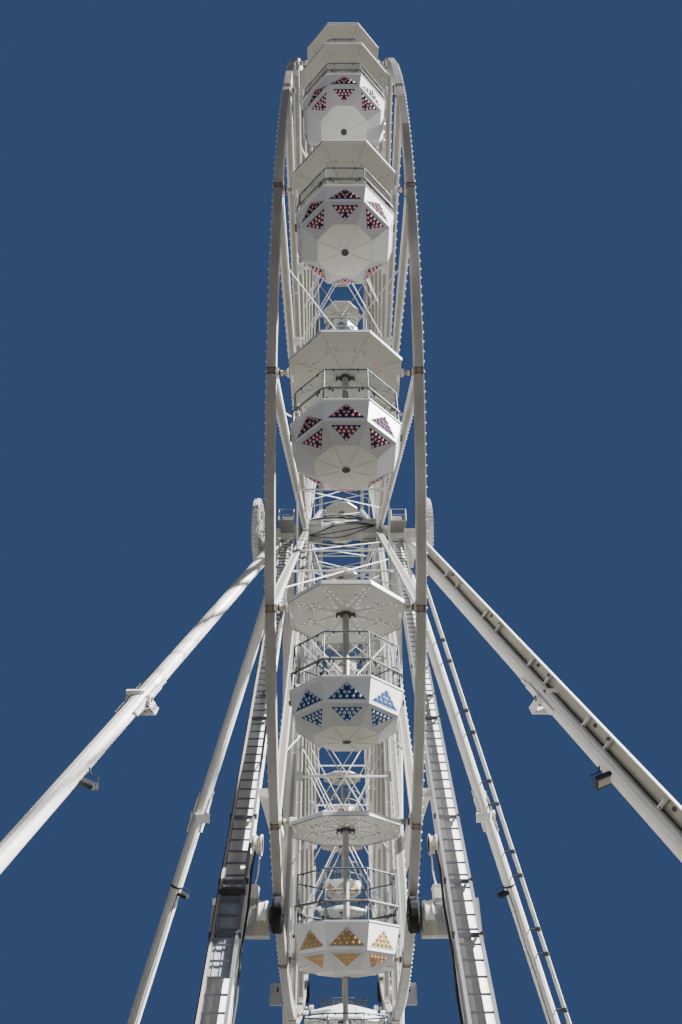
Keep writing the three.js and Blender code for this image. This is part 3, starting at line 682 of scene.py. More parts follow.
def round_axle(name, bay, material, slot=None):
    """One bay's mesh, repeated round the wheel."""
    return grown(name, BAY_TREE, bay, "wheel", slot, count=BAYS, first_angle=FIRST_ANGLE, material=material)


def on_circle(centre, x, reach, angle):
    """A point round a line across the wheel, its angle taken from straight up."""
    return centre + Vector((x, reach * math.sin(angle), reach * math.cos(angle)))


BAY_TREE, BULBS = bays_tree(), bulbs_tree()
hub_paint = weathered("hub_paint", (0.50, 0.50, 0.48, 1), amount=0.6, patch=0.4, rough=0.45, metal=0.1)
disc_plastic = weathered("disc_plastic", (0.62, 0.62, 0.60, 1), (0.30, 0.28, 0.25, 1), 0.5, 0.4, 0.3)
bulb_clear = weathered("bulb_clear", (0.92, 0.92, 0.90, 1), (0.55, 0.50, 0.42, 1), 0.3, 0.1, 0.12)
dressed("hub_drum", hub_paint)
shape = bmesh.new()
for side, _ in SIDES:
    x = side * (SPOKE_HUB_X + 0.11)
    for reach in (0.50, 0.30):
        cross_rod(shape, x - side * 0.02, x + side * 0.035, 0.02, reach, 0.022, 6)
round_axle("hub_bolts", mesh_of("bolts_bay", shape), dark_steel)
shape = bmesh.new()
for x in HUB_RINGS:
    cross_rod(shape, x - 0.02, x + 0.02, 0, HUB_Z, BARREL_RADIUS + BARREL_PROUD, 32)
for i in range(8):
    turn = Matrix.Rotation(math.pi * i / 4, 3, "X")
    web = AXLE + turn @ (UP * (BARREL_RADIUS + BARREL_PROUD))
    for low_x, high_x in ((-BARREL_HALF, HUB_RINGS[0]), (HUB_RINGS[-1], BARREL_HALF)):
        box_between(shape, web + ACROSS * low_x, web + ACROSS * high_x, 0.02, 0.16, turn @ Vector((0, 1, 0)))
built("hub_stiffeners", shape, "wheel", "rim_paint", hub_paint)
runs = []
for bundle in range(BUNDLES):
    for strand in range(STRANDS):
        run = []
        for share in (i / CABLE_STEPS for i in range(CABLE_STEPS + 1)):
            sag = math.sin(math.pi * share)
            spin = bundle * math.pi / 2 + 0.5 + 0.9 * share + 0.5 * math.sin(2.1 * strand + bundle) * sag
            reach = BARREL_RADIUS + 0.10 + 0.20 * sag * (1 - 0.2 * strand)
            run.append(on_circle(AXLE, CABLE_HALF * (2 * share - 1), reach, spin))
        runs.append(run)
grown("hub_cables", RODS, lines_mesh("bundles", runs), "wheel", radius=0.02, sides=6, material=cable_black)
for side, name in SIDES:
    dressed("hub_disc_" + name, disc_plastic)
    shape = bmesh.new()
    inner = side * (DISC_X - DISC_HALF - 0.012)
    outer = side * (DISC_X + DISC_HALF - 0.012)
    box_between(shape, (inner, 0, 0.12), (inner, 0, DISC_RADIUS - 0.05), 0.03, 0.035)
    for half, reach, deep in ((0.16, DISC_RADIUS - 0.06, 0.05), (0.09, 0.68, 0.035)):
        box_between(shape, (inner, -half, reach), (inner, half, reach), 0.03, deep)
    box_between(shape, (outer, 0, 0.12), (outer, 0, DISC_RADIUS - 0.02), 0.02, 0.06)
    round_axle("disc_ribs_" + name, mesh_of("ribs_bay", shape), disc_plastic, "disc_plastic")
    shape = bmesh.new()
    for reach in DISC_HOOPS:
        for i in range(BAYS):
            a, b = (Matrix.Rotation(BAY * n, 3, "X") @ Vector((inner, 0, reach)) + AXLE for n in (i, i + 1))
            box_between(shape, a, b, 0.05, 0.02)
    for i in range(DISC_SECTORS):
        turn = Matrix.Rotation(2 * math.pi * (i + 0.5) / DISC_SECTORS, 3, "X")
        gap = (AXLE + turn @ Vector((outer + side * 0.011, 0, reach)) for reach in (0.2, DISC_RADIUS - 0.03))
        box_between(shape, *gap, 0.006, 0.014, finish=1)
        edge = (AXLE + turn @ Vector((side * (DISC_X + x), 0, DISC_RADIUS - 0.004)) for x in (-0.09, 0.09))
        box_between(shape, *edge, 0.012, 0.014, (0, 1, 0), 1)
        stay = (AXLE + turn @ Vector(p) for p in ((inner, 0, 0.80), (side * 3.02, 0, 0.20)))
        rod_between(shape, *stay, 0.02, 8)
        if i % 3 == 0:
            box, half = AXLE + turn @ Vector((inner - side * 0.07, 0, 0.66)), turn @ (UP * 0.16)
            box_between(shape, box - half, box + half, 0.14, 0.26, finish=2)
    built("disc_frame_" + name, shape, "wheel", "galvanised_steel", galvanised, dark_steel, hub_paint)
    rows = [(side * DISC_X, DISC_RADIUS + 0.004)] + [(outer + side * 0.012, reach) for reach in DISC_BULB_ROWS]
    runs = [[on_circle(AXLE, x, reach, 2 * math.pi * i / DISC_BULB_STEPS) for i in range(DISC_BULB_STEPS + 1)]
            for x, reach in rows]
    grown("disc_bulbs_" + name, BULBS, lines_mesh("disc_rows", runs), "wheel",
          spacing=0.17, radius=0.032, material=bulb_clear)

# The spokes: 24 pairs of slim box sections in ivory paint, each with a bulb strip down its outer edge, a
# folded lip on both edges of its groove, crossed braces to its partner and gussets where the ties meet it.
SPOKE_FOOT, SPOKE_END, SPOKE_HALF_X, SPOKE_HALF_Y = 0.6003, 16.0747, 0.09, 0.05
SPOKE_LENGTHS = ((1.0, 5.6), (5.66, 10.9), (10.96, 15.9))
LIP_LOW, LIP_HIGH, LIP_ASIDE = 0.75, 15.95, 0.068
INNER_TIE, OUTER_TIE = 0.45 * PIVOT_RADIUS, 0.72 * PIVOT_RADIUS
BRACES = ((0.87 * PIVOT_RADIUS, 0.57 * PIVOT_RADIUS), (0.28 * PIVOT_RADIUS, INNER_TIE))
STRIP_LOW, STRIP_HIGH = 1.5, 15.8


def on_spoke(side, reach, out=0.0, across=0.0):
    """A point on the upright spoke of a bay, by its distance from the axle."""
    lean = (SPOKE_RIM_X - SPOKE_HUB_X) * (reach - SPOKE_FOOT) / (SPOKE_END - SPOKE_FOOT)
    return Vector((side * (SPOKE_HUB_X + lean + out), across, reach))


# The colour below is painted shade: it stands for the shade inside each spoke's groove.
groove_paint = weathered("groove_paint", (0.33, 0.31, 0.26, 1), amount=0.5, patch=0.4, rough=0.5)
# The spokes' ivory is a darker copy of the struts' paint: painted shade. The rims' strips and pivot blocks
# share it.
spoke_paint = weathered("spoke_paint", (0.65, 0.645, 0.62, 1), amount=0.25, patch=0.9, rough=0.42)
for number in range(8):
    dressed(f"spokes_{number + 1:02d}", spoke_paint)
shape = bmesh.new()
for side, _ in SIDES:
    for at in (-SPOKE_HALF_Y - 0.004, SPOKE_HALF_Y + 0.004):
        for out in (-LIP_ASIDE, LIP_ASIDE):
            lip = (on_spoke(side, reach, out, at) for reach in (LIP_LOW, LIP_HIGH))
            box_between(shape, *lip, 0.036, 0.008)
    out = SPOKE_HALF_X + 0.008
    box_between(shape, on_spoke(side, STRIP_LOW, out), on_spoke(side, STRIP_HIGH, out), 0.016, 0.05)
    for reach in (INNER_TIE, OUTER_TIE):
        upright(shape, on_spoke(side, reach, -0.17), 0.16, 0.16, 0.012)
    box_between(shape, on_spoke(side, 0.62), on_spoke(side, 1.0), 0.22, 0.13)
round_axle("spoke_lips", mesh_of("lips_bay", shape), spoke_paint, "ivory_paint")
# Flat dark strips on both faces of every spoke: painted shade for the groove down their middle.
shape = bmesh.new()
for side, _ in SIDES:
    for at in (-SPOKE_HALF_Y - 0.001, SPOKE_HALF_Y + 0.001):
        for low_end, high_end in SPOKE_LENGTHS:
            box_between(shape, on_spoke(side, low_end, 0, at), on_spoke(side, high_end, 0, at), 0.10, 0.006)
round_axle("spoke_grooves", mesh_of("grooves_bay", shape), groove_paint)
shape = bmesh.new()
for side, _ in SIDES:
    for near, far in BRACES:
        rod_between(shape, on_spoke(side, near, -0.09), on_spoke(-side, far, -0.09), 0.018, 8)
round_axle("spoke_braces", mesh_of("braces_bay", shape), spoke_paint, "ivory_paint")
runs = [[on_spoke(side, reach, 0.108) for reach in (STRIP_LOW + 0.1, STRIP_HIGH - 0.1)] for side, _ in SIDES]
bay_bulbs = grown("strip_bulbs_bay", BULBS, lines_mesh("strips", runs), None,
                  spacing=0.24, radius=0.026, material=bulb_clear)
round_axle("spoke_bulbs", bay_bulbs, bulb_clear)

# The rims: rolled box rings, one on each side, bolted together at every pivot with rusty double flanges,
# with a bearing block for each cabin's pin and a row of bulbs round both edges of the outer side.
RIM_IN, RIM_OUT = 1.25, 1.405
JOINT_SHIFTS = ((-0.055, 0.007, 1), (0.0, 0.05, 0), (0.055, 0.007, 1))
RIM_STRIP_REACH = 0.08
rim_paint = weathered("rim_paint", (0.35, 0.335, 0.315, 1), (0.22, 0.175, 0.13, 1), 0.45, 0.9, 0.5, 0.1)
cover_plate = weathered("joint_cover", (0.26, 0.21, 0.16, 1), (0.22, 0.15, 0.10, 1), 0.5, 0.12, 0.6, 0.1, 0.3)
rust = weathered("rusty_flange", (0.105, 0.07, 0.048, 1), (0.07, 0.045, 0.03, 1), 0.8, 0.05, 0.75, 0.2, 0.6)
for _, name in SIDES:
    dressed("rim_" + name, rim_paint)
flanges, covers, blocks, bosses = (bmesh.new() for _ in range(4))
for side, _ in SIDES:
    middle = side * (RIM_IN + RIM_OUT) / 2
    for shift, half, proud in JOINT_SHIFTS:
        ends = ((middle, y, PIVOT_RADIUS) for y in (shift - half, shift + half))
        box_between(flanges if proud else covers, *ends, 0.165 + 0.02 * proud, 0.254 + 0.012 * proud)
    for x in (middle - 0.05, middle + 0.05):
        for z in (PIVOT_RADIUS - 0.126, PIVOT_RADIUS + 0.126):
            rod_between(flanges, (x, -0.075, z), (x, 0.075, z), 0.008, 6)
    face = side * (RIM_IN - 0.02)
    box_between(blocks, (face, -0.08, PIVOT_RADIUS), (face, 0.08, PIVOT_RADIUS), 0.04, 0.13)
    cross_rod(blocks, side * 1.13, side * (RIM_IN - 0.001), 0, PIVOT_RADIUS, 0.05, 16)
    cross_rod(bosses, side * 1.17, side * 1.20, 0, PIVOT_RADIUS, 0.066, 8)
    box_between(blocks, (middle, 0, PIVOT_RADIUS - 0.19), (middle, 0, PIVOT_RADIUS - 0.12), 0.16, 0.26)
round_axle("rim_joints", mesh_of("flanges_bay", flanges), rust, "rim_paint")
round_axle("rim_joint_covers", mesh_of("covers_bay", covers), cover_plate, "rim_paint")
round_axle("pivot_nuts", mesh_of("nuts_bay", bosses), rust)
round_axle("pivot_blocks", mesh_of("blocks_bay", blocks), spoke_paint, "ivory_paint")
shape = bmesh.new()
runs = []
for side, _ in SIDES:
    for reach in (PIVOT_RADIUS - RIM_STRIP_REACH, PIVOT_RADIUS + RIM_STRIP_REACH):
        ends = [on_circle(Vector(), side * (RIM_OUT + 0.012), reach, share * BAY)
                for share in (-1 / 2, -1 / 6, 1 / 6, 1 / 2)]
        for a, b in zip(ends, ends[1:]):
            box_between(shape, a, b, 0.014, 0.05)
        runs.append([p + ACROSS * side * 0.012 for p in ends])
round_axle("rim_strips", mesh_of("strips_bay", shape), spoke_paint, "ivory_paint")
bay_bulbs = grown("rim_bulbs_bay", BULBS, lines_mesh("strips", runs), None,
                  spacing=0.19, radius=0.021, material=bulb_clear)
round_axle("rim_bulbs", bay_bulbs, bulb_clear)

# The drives: four rubber tyres press on the rims, each on a gearbox with a flat motor box and a white
# control box above it, clamped to a leg; sheet steel, cast iron and moulded rubber.
DRIVE_ANGLE = math.radians(64.8)
TYRE_RADIUS, TYRE_HALF, TYRE_X, TREAD_COUNT = 0.305, 0.1025, 1.305, 40
TYRE_REACH = 16.325 / math.cos(math.pi / 72) + 0.005 + TYRE_RADIUS / math.cos(math.pi / 16)
WALL_RINGS, WALL_STEPS, NUT_REACH = (0.275, 0.15), 24, 0.085
FIN_COUNT, FIN_LOW, FIN_STEP, FIN_Y, FIN_X = 9, -0.30, 0.055, 0.205, (1.74, 2.54)
DRIVE_PLATES = (
    ((2.139, -0.207, -0.37), (2.139, -0.207, 0.25), 0.03, 0.016, 0),
    ((1.846, -0.203, 0.25), (1.846, -0.203, 0.48), 0.262, 0.014, 1),
    ((1.846, 0, 0.47), (1.846, 0, 0.486), 0.28, 0.43, 1),
    ((2.30, -0.21, -0.02), (2.30, -0.21, 0.12), 0.08, 0.008, 2),
    ((1.588, 0, -0.372), (1.588, 0, -0.12), 0.275, 0.412, 3),
)
DRIVE_ROUNDS = (
    (1.45, 1.475, 0.17, 20, 3), (1.50, 1.69, 0.235, 32, 1), (1.52, 1.54, 0.25, 32, 1), (1.65, 1.67, 0.25, 32, 1)
)
rubber = weathered("tyre_rubber", (0.008, 0.008, 0.009, 1), (0.04, 0.038, 0.035, 1), 0.4, 0.06, 0.85, 0.0, 0.4)
motor_grey = weathered("motor_grey", (0.40, 0.41, 0.42, 1), (0.30, 0.25, 0.19, 1), 0.6, 0.25, 0.45, 0.2)
box_white = weathered("control_white", (0.82, 0.81, 0.78, 1), amount=0.3, patch=0.3, rough=0.35)
gear_sand = weathered("gear_sand", (0.48, 0.45, 0.38, 1), (0.25, 0.20, 0.15, 1), 0.6, 0.2, 0.5, 0.2)
for side, front, name in CORNERS:
    dressed("drive_" + name, motor_grey)
    dressed("tyre_" + name, rubber)
    centre = Vector((side * TYRE_X, front * TYRE_REACH * math.cos(DRIVE_ANGLE),
                     HUB_Z - TYRE_REACH * math.sin(DRIVE_ANGLE)))
    shape = bmesh.new()
    for i in range(TREAD_COUNT):
        turn = Matrix.Rotation(2 * math.pi * i / TREAD_COUNT, 3, "X")
        for hand in (-1, 1):
            lug = centre + turn @ Vector((hand * 0.045, 0, TYRE_RADIUS + 0.001))
            end = lug + turn @ Vector((hand * 0.035, 0.014, -0.004))
            box_between(shape, lug, end, 0.022, 0.008, turn @ Vector((0, 1, 0)))
    for hand in (-1, 1):
        for reach in WALL_RINGS:
            ring = [on_circle(centre, hand * (TYRE_HALF - 0.001), reach, 2 * math.pi * i / WALL_STEPS)
                    for i in range(WALL_STEPS + 1)]
            for a, b in zip(ring, ring[1:]):
                box_between(shape, a, b, 0.006, 0.012)
        for i in range(6):
            turn = Matrix.Rotation(math.pi * i / 3, 3, "X")
            nut = centre + turn @ Vector((hand * (TYRE_HALF - 0.02), 0, NUT_REACH))
            rod_between(shape, nut, nut + ACROSS * hand * 0.018, 0.014, 6, 1)
    built("tyre_tread_" + name, shape, "tyre_" + name, "tyre_rubber", rubber, galvanised)
    shape = bmesh.new()
    level = Vector((0, centre.y, centre.z))
    for i in range(FIN_COUNT):
        for face in (-FIN_Y, FIN_Y):
            fin = (level + Vector((side * x, face, FIN_LOW + i * FIN_STEP)) for x in FIN_X)
            box_between(shape, *fin, 0.012, 0.012, (0, 1, 0))
    for low, high, wide, deep, finish in DRIVE_PLATES:
        ends = (level + Vector((side * x, y, z)) for x, y, z in (low, high))
        box_between(shape, *ends, wide, deep, finish=finish)
    for start, end, radius, sides, finish in DRIVE_ROUNDS:
        cross_rod(shape, side * start, side * end, centre.y, centre.z, radius, sides, finish)
    for i in range(8):
        nut = on_circle(level, side * 1.447, 0.135, -math.pi * i / 4)
        rod_between(shape, nut, nut - ACROSS * side * 0.012, 0.014, 6, 2)
    built("drive_covers_" + name, shape, "frame", "motor_paint", motor_grey, box_white, dark_steel, gear_sand)

# The cabins: eight-sided open tubs of glossy moulded plastic with a steel pole and a moulded canopy, hung
# from a pin on each side. Bulbs sit in painted triangles on six faces, and steel rails carry clear panels.
TUB_LOW, TUB_EDGE, TUB_KNEE, TUB_RIM = -2.435, -2.39, -2.155, -1.78
EDGE_WIDE, KNEE_WIDE, RIM_WIDE, LIP_WIDE = 0.99, 1.59, 1.765, 1.80
FLOOR_Z, SEAT_Z = -2.345, -1.95
CANOPY_WIDE, CANOPY_EDGE, CANOPY_TOP, CROWN_WIDE, CROWN_Z = 2.0, -0.175, -0.105, 0.18, 0.108
HOOP_Z, MID_RAIL_Z, RAIL_WIDE, RAIL_CORNER = -0.985, -1.475, 1.70, 0.07
(SHELL, LOWER, BOTTOM, UNDERSIDE, PANEL, BULB, RAIL, POLE, BLACK, SEAM, HOOD_BULB, BORDER, HOLE, RING,
 MID_RAIL) = range(15)
SIDE_FACES = (3, 7)
HOOD_RISE, HOOD_FALL, HOOD_FIRST, HOOD_STEP, HOOD_COUNT, HOOD_ASIDE = 0.06, 0.048, 0.22, 0.068, 11, 0.024
SEAM_ASIDE, SEAM_RING, KNOB_REACH, KNOB_ASIDE = 0.016, 0.60, 0.62, 0.09
BORDER_WIDE = 0.014
ROWS_UP = (
    (0.19, (-0.69, -0.35, 0, 0.35, 0.69)), (0.45, (-0.46, -0.12, 0.12, 0.46)),
    (0.70, (-0.25, 0.25)), (0.91, (0,)),
)
ROWS_DOWN = (
    (0.14, (-0.69, -0.34, 0, 0.34, 0.69)), (0.36, (-0.45, -0.15, 0.15, 0.45)),
    (0.59, (-0.24, 0.24)), (0.83, (0,)),
)
PANEL_UP, PANEL_DOWN = (0.154, 0.77, 0.28, ROWS_UP), (0.835, 0.17, 0.236, ROWS_DOWN)
UPRIGHT_RODS = (
    (FLOOR_Z - 0.005, CANOPY_EDGE + 0.05, 0.055, POLE), (FLOOR_Z - 0.005, FLOOR_Z + 0.03, 0.13, POLE),
    # The second disc here is black: painted shade in the hole in the middle of the bottom.
    (TUB_LOW - 0.001, TUB_LOW + 0.02, 0.088, BOTTOM), (TUB_LOW - 0.003, TUB_LOW + 0.02, 0.068, HOLE),
    (CANOPY_EDGE, CANOPY_EDGE + 0.05, 0.085, BLACK),
)
PIN_RODS = ((0.93, 1.05, 0.08, 20, SHELL), (1.049, 1.085, 0.055, 6, POLE), (1.08, 1.2495, 0.035, 16, SEAM))
HANGER_X, STRAP_Y = 0.965, 0.3


def octagon(across, z):
    """The corners of an eight-sided ring whose flats are this far apart."""
    reach = across / 2 / math.cos(math.pi / 8)
    return [Vector((reach * math.cos(a), reach * math.sin(a), z))
            for a in (math.pi / 8 + k * math.pi / 4 for k in range(8))]


def moulded(bm, profile):
    """A closed eight-sided shell through rings of (width, height, finish of the band below it)."""
    rings = []
    for across, z, _ in profile:
        corners = [Vector((0, 0, z))] if across == 0 else octagon(across, z)
        rings.append([bm.verts.new(p) for p in corners])
    for low, high, (_, _, finish) in zip(rings, rings[1:], profile[1:]):
        for k in range(8):
            n = (k + 1) % 8
            if len(low) == 1:
                face = bm.faces.new((low[0], high[n], high[k]))
            elif len(high) == 1:
                face = bm.faces.new((low[k], low[n], high[0]))
            else:
                face = bm.faces.new((low[k], low[n], high[n], high[k]))
            face.material_index = finish


def wall_point(band, k, across, rise, proud=0.0):
    """A point on face k of a band between two rings: across its middle in metres, up it as a share."""
    low_ring, high_ring = band
    a, b = (low_ring[k], low_ring[(k + 1) % 8]), (high_ring[k], high_ring[(k + 1) % 8])
    low, high = (a[0] + a[1]) / 2, (b[0] + b[1]) / 2
    sideways = (a[1] - a[0]).normalized()
    outwards = sideways.cross((high - low).normalized())
    return low.lerp(high, rise) + sideways * across + outwards * proud


def plate(bm, band, k, outline, proud, behind, finish=0):
    """A flat plate on face k of a band, from its outline on the face."""
    near, far = (
        [bm.verts.new(wall_point(band, k, x, v, depth)) for x, v in outline] for depth in (proud, behind)
    )
    count = len(outline)
    faces = [bm.faces.new(near), bm.faces.new(far[::-1])]
    for i in range(count):
        n = (i + 1) % count
        faces.append(bm.faces.new((far[i], far[n], near[n], near[i])))
    for face in faces:
        face.material_index = finish


def bulb_panel(bm, band, k, base, tip, half, rows):
    """A painted triangle in its border on a face; returns where its bulbs and their sockets go."""
    tall = (wall_point(band, k, 0, 1) - wall_point(band, k, 0, 0)).length
    for grown_by, proud, finish in ((BORDER_WIDE, 0.004, BORDER), (0, 0.007, PANEL)):
        foot = base - math.copysign(grown_by / tall, tip - base)
        peak = tip + math.copysign(2 * grown_by / tall, tip - base)
        wide = math.copysign(half + 1.6 * grown_by, tip - base)
        plate(bm, band, k, ((-wide, foot), (wide, foot), (0, peak)), proud, -0.01, finish)
    spots = [(x * half, base + (tip - base) * share) for share, row in rows for x in row]
    return ([wall_point(band, k, x, v, 0.009) for x, v in spots],
            [wall_point(band, k, x, v, -0.012) for x, v in spots])


def dots_tree():
    """A small round bulb on every point of a mesh."""
    tree, given = node_tree("bulbs_on_points", [("Radius", "NodeSocketFloat")])
    size = {"Radius": given["Radius"], "Segments": 8, "Rings": 4}
    bulb = put(tree, "GeometryNodeMeshUVSphere", size).outputs[0]
    placed = {"Points": given["Geometry"], "Instance": bulb}
    bulbs = put(tree, "GeometryNodeInstanceOnPoints", placed).outputs[0]
    return close_tree(tree, bulbs, given["Material"], smooth=True)


DOTS = dots_tree()


def add_grown(bm, tree, mesh, finish, **inputs):
    """Joins what a tree makes from a mesh into a shape, with one finish."""
    before = len(bm.faces)
    bm.from_mesh(grown(mesh.name, tree, mesh, None, material=None, **inputs))
    bm.faces.ensure_lookup_table()
    for face in bm.faces[before:]:
        face.material_index = finish


def rounded_ring(across, z):
    """A hoop's path: an octagon with a short flat at each corner, closed."""
    ring = octagon(across, z)
    path = []
    for k in range(8):
        before, here, after = ring[k - 1], ring[k], ring[(k + 1) % 8]
        path += [here + (before - here).normalized() * RAIL_CORNER, here * 0.997,
                 here + (after - here).normalized() * RAIL_CORNER]
    return path + path[:1]


def under_canopy(reach, corner_point, aside):
    """A point under the canopy, by its share of the way to a corner and its distance beside that line."""
    x, y = corner_point.xy
    return Vector((x * reach - y * aside, y * reach + x * aside, CANOPY_EDGE + HOOD_RISE - HOOD_FALL * reach))


def cabin_shape():
    """One cabin about its pivot, with the numbers of its finishes."""
    bm = bmesh.new()
    moulded(bm, [
        (0, TUB_LOW, BOTTOM), (EDGE_WIDE, TUB_EDGE, BOTTOM), (KNEE_WIDE, TUB_KNEE, LOWER),
        (RIM_WIDE, TUB_RIM, SHELL), (LIP_WIDE, TUB_RIM + 0.004, SHELL), (LIP_WIDE, TUB_RIM + 0.024, SHELL),
        (1.70, TUB_RIM + 0.024, SHELL), (1.66, TUB_RIM - 0.01, SHELL), (1.50, SEAT_Z, SHELL),
        (0.66, SEAT_Z, SHELL), (0.60, SEAT_Z - 0.03, SHELL), (0.60, FLOOR_Z, LOWER), (0, FLOOR_Z, LOWER),
    ])
    moulded(bm, [
        (0, CANOPY_EDGE + HOOD_RISE, UNDERSIDE), (CANOPY_WIDE - 0.09, CANOPY_EDGE + 0.012, UNDERSIDE),
        (CANOPY_WIDE - 0.05, CANOPY_EDGE, UNDERSIDE), (CANOPY_WIDE, CANOPY_EDGE, SHELL),
        (CANOPY_WIDE, CANOPY_TOP, SHELL), (CANOPY_WIDE - 0.03, CANOPY_TOP + 0.012, SHELL),
        (0.5, 0.08, SHELL), (CROWN_WIDE, CROWN_Z, SHELL), (0.16, 0.122, SHELL), (0, 0.122, SHELL),
    ])
    edge, knee, rim = octagon(EDGE_WIDE, TUB_EDGE), octagon(KNEE_WIDE, TUB_KNEE), octagon(RIM_WIDE, TUB_RIM)
    places, sockets, hood_places = [], [], []
    for k in range(8):
        if k not in SIDE_FACES:
            for band, panel in (((knee, rim), PANEL_UP), ((edge, knee), PANEL_DOWN)):
                bulbs, holes = bulb_panel(bm, band, k, *panel)
                places += bulbs
                sockets += holes
    ring, trim = octagon(CANOPY_WIDE - 0.09, 0), octagon(CANOPY_WIDE - 0.014, CANOPY_EDGE)
    brow, crown = octagon(CANOPY_WIDE - 0.04, CANOPY_TOP + 0.012), octagon(CROWN_WIDE + 0.02, CROWN_Z)
    hub = octagon(0.24, TUB_LOW + 0.009)
    for k in range(8):
        here, after = ring[k], ring[(k + 1) % 8]
        for aside in (-SEAM_ASIDE, SEAM_ASIDE):
            seam = under_canopy(0.13, here, aside * 0.6), under_canopy(0.985, here, aside)
            box_between(bm, *seam, 0.006, 0.012, UP, SEAM)
        seam = under_canopy(SEAM_RING, here, 0.05), under_canopy(SEAM_RING, after, -0.05)
        box_between(bm, *seam, 0.008, 0.010, UP, SEAM)
        for i in range(HOOD_COUNT):
            reach = HOOD_FIRST + HOOD_STEP * i
            hood_places.append(under_canopy(reach, here, (-1) ** i * HOOD_ASIDE / reach))
        square = (-here.y, here.x, 0)
        box_between(bm, trim[k], trim[(k + 1) % 8], 0.014, 0.012, UP, BLACK)
        box_between(bm, brow[k], crown[k], 0.03, 0.016, square, SHELL)
        box_between(bm, edge[k], hub[k], 0.006, 0.006, square, SEAM)
    for low, high, radius, finish in UPRIGHT_RODS:
        rod_between(bm, (0, 0, low), (0, 0, high), radius, 20, finish)
    for hand in (-1, 1):
        start = Vector((hand * 0.05, 0, CANOPY_EDGE + 0.02))
        box_between(bm, start, start + ACROSS * hand * 0.12, 0.04, 0.05, UP, BLACK)
        for reach in (0.03, 0.11):
            tab = start + ACROSS * hand * reach
            box_between(bm, tab, tab - UP * 0.06, 0.025, 0.035, finish=BLACK)
    posts = [[a * 0.99, b] for a, b in zip(octagon(RAIL_WIDE + 0.02, TUB_RIM), octagon(RAIL_WIDE, HOOP_Z))]
    hoop, mid_rail = rounded_ring(RAIL_WIDE, HOOP_Z), rounded_ring(RAIL_WIDE + 0.05, MID_RAIL_Z)
    for runs, radius, finish in (([hoop], 0.014, RAIL), (posts, 0.011, RAIL), ([mid_rail], 0.021, MID_RAIL)):
        add_grown(bm, RODS, lines_mesh("rails", runs), finish, radius=radius, sides=8)
    band = octagon(RAIL_WIDE, TUB_RIM), octagon(RAIL_WIDE, HOOP_Z)
    mid_share = (MID_RAIL_Z - TUB_RIM) / (HOOP_Z - TUB_RIM)
    for k in range(8):
        for hand in (-1, 1):
            upright(bm, wall_point(band, k, hand * 0.26, mid_share, 0.02), 0.032, 0.036, 0.04, finish=BLACK)
            for rise, aside in ((0.985, 0.20), (mid_share - 0.04, 0.21), (0.10, 0.30)):
                upright(bm, wall_point(band, k, hand * aside, rise), 0.022, 0.026, 0.026, finish=BLACK)
    for side, _ in SIDES:
        hanger = ((side * HANGER_X, 0, z) for z in (CANOPY_EDGE + 0.005, 0.06))
        box_between(bm, *hanger, 0.07, 0.16, finish=SHELL)
        for start, end, radius, sides, finish in PIN_RODS:
            cross_rod(bm, side * start, side * end, 0, 0, radius, sides, finish)
        for y in (-STRAP_Y, STRAP_Y):
            strap = (side * 0.80, y, TUB_KNEE + 0.02), (side * 0.886, y, TUB_RIM)
            box_between(bm, *strap, 0.008, 0.012, (0, 1, 0), SEAM)
        catch = ((side * 0.895, y, TUB_RIM - 0.1) for y in (-0.24, -0.10))
        box_between(bm, *catch, 0.03, 0.03, finish=BLACK)
    for k in range(8):
        for aside in (-KNOB_ASIDE, KNOB_ASIDE):
            knob = under_canopy(KNOB_REACH, ring[k], aside)
            rod_between(bm, knob - UP * 0.012, knob + UP * 0.01, 0.026, 10, SEAM)
    hood_sockets = [p + UP * 0.014 for p in hood_places]
    for group, radius, finish in (
        (places, 0.0195, BULB), (sockets, 0.033, RING),
        (hood_places, 0.019, HOOD_BULB), (hood_sockets, 0.026, SEAM),
    ):
        spots = bpy.data.meshes.new("bulbs")
        spots.from_pydata([tuple(p) for p in group], [], [])
        add_grown(bm, DOTS, spots, finish, radius=radius)
    return bm


shell_white = weathered(
    "cabin_white", (0.84, 0.84, 0.83, 1), (0.45, 0.42, 0.36, 1), 0.16, 0.9, 0.22, grain=0.03
)
# The lower band, the bottom and the canopy's underside are the shell's white plastic painted darker: painted
# shade on the faces that look down. The tan of the bottom and of the canopy's underside is painted warm light
# from the floor; the dirt mixed over them is real.
lower_painted_shade = weathered(
    "cabin_cream", (0.47, 0.475, 0.475, 1), (0.42, 0.37, 0.30, 1), 0.25, 0.7, 0.28, grain=0.03
)
bottom_painted_shade = weathered(
    "cabin_bottom", (0.50, 0.49, 0.425, 1), (0.42, 0.39, 0.31, 1), 0.35, 0.5, 0.3, grain=0.04
)
underside_painted_shade = weathered(
    "canopy_cream", (0.44, 0.425, 0.36, 1), (0.42, 0.37, 0.29, 1), 0.25, 0.6, 0.35, grain=0.05
)
seam_brown = weathered("seam_brown", (0.40, 0.36, 0.29, 1), (0.16, 0.13, 0.10, 1), 0.4, 0.2, 0.5)
navy = weathered("panel_navy", (0.012, 0.026, 0.085, 1), (0.06, 0.06, 0.09, 1), 0.3, 0.2, 0.75, grain=0.03)
blue = weathered("panel_blue", (0.012, 0.065, 0.21, 1), (0.06, 0.08, 0.13, 1), 0.3, 0.2, 0.75, grain=0.03)
gold = weathered("panel_gold", (0.34, 0.29, 0.13, 1), (0.20, 0.15, 0.07, 1), 0.4, 0.2, 0.75, grain=0.03)
for panel in (navy, blue, gold):
    panel.node_tree.nodes["Principled BSDF"].inputs["Specular IOR Level"].default_value = 0.15
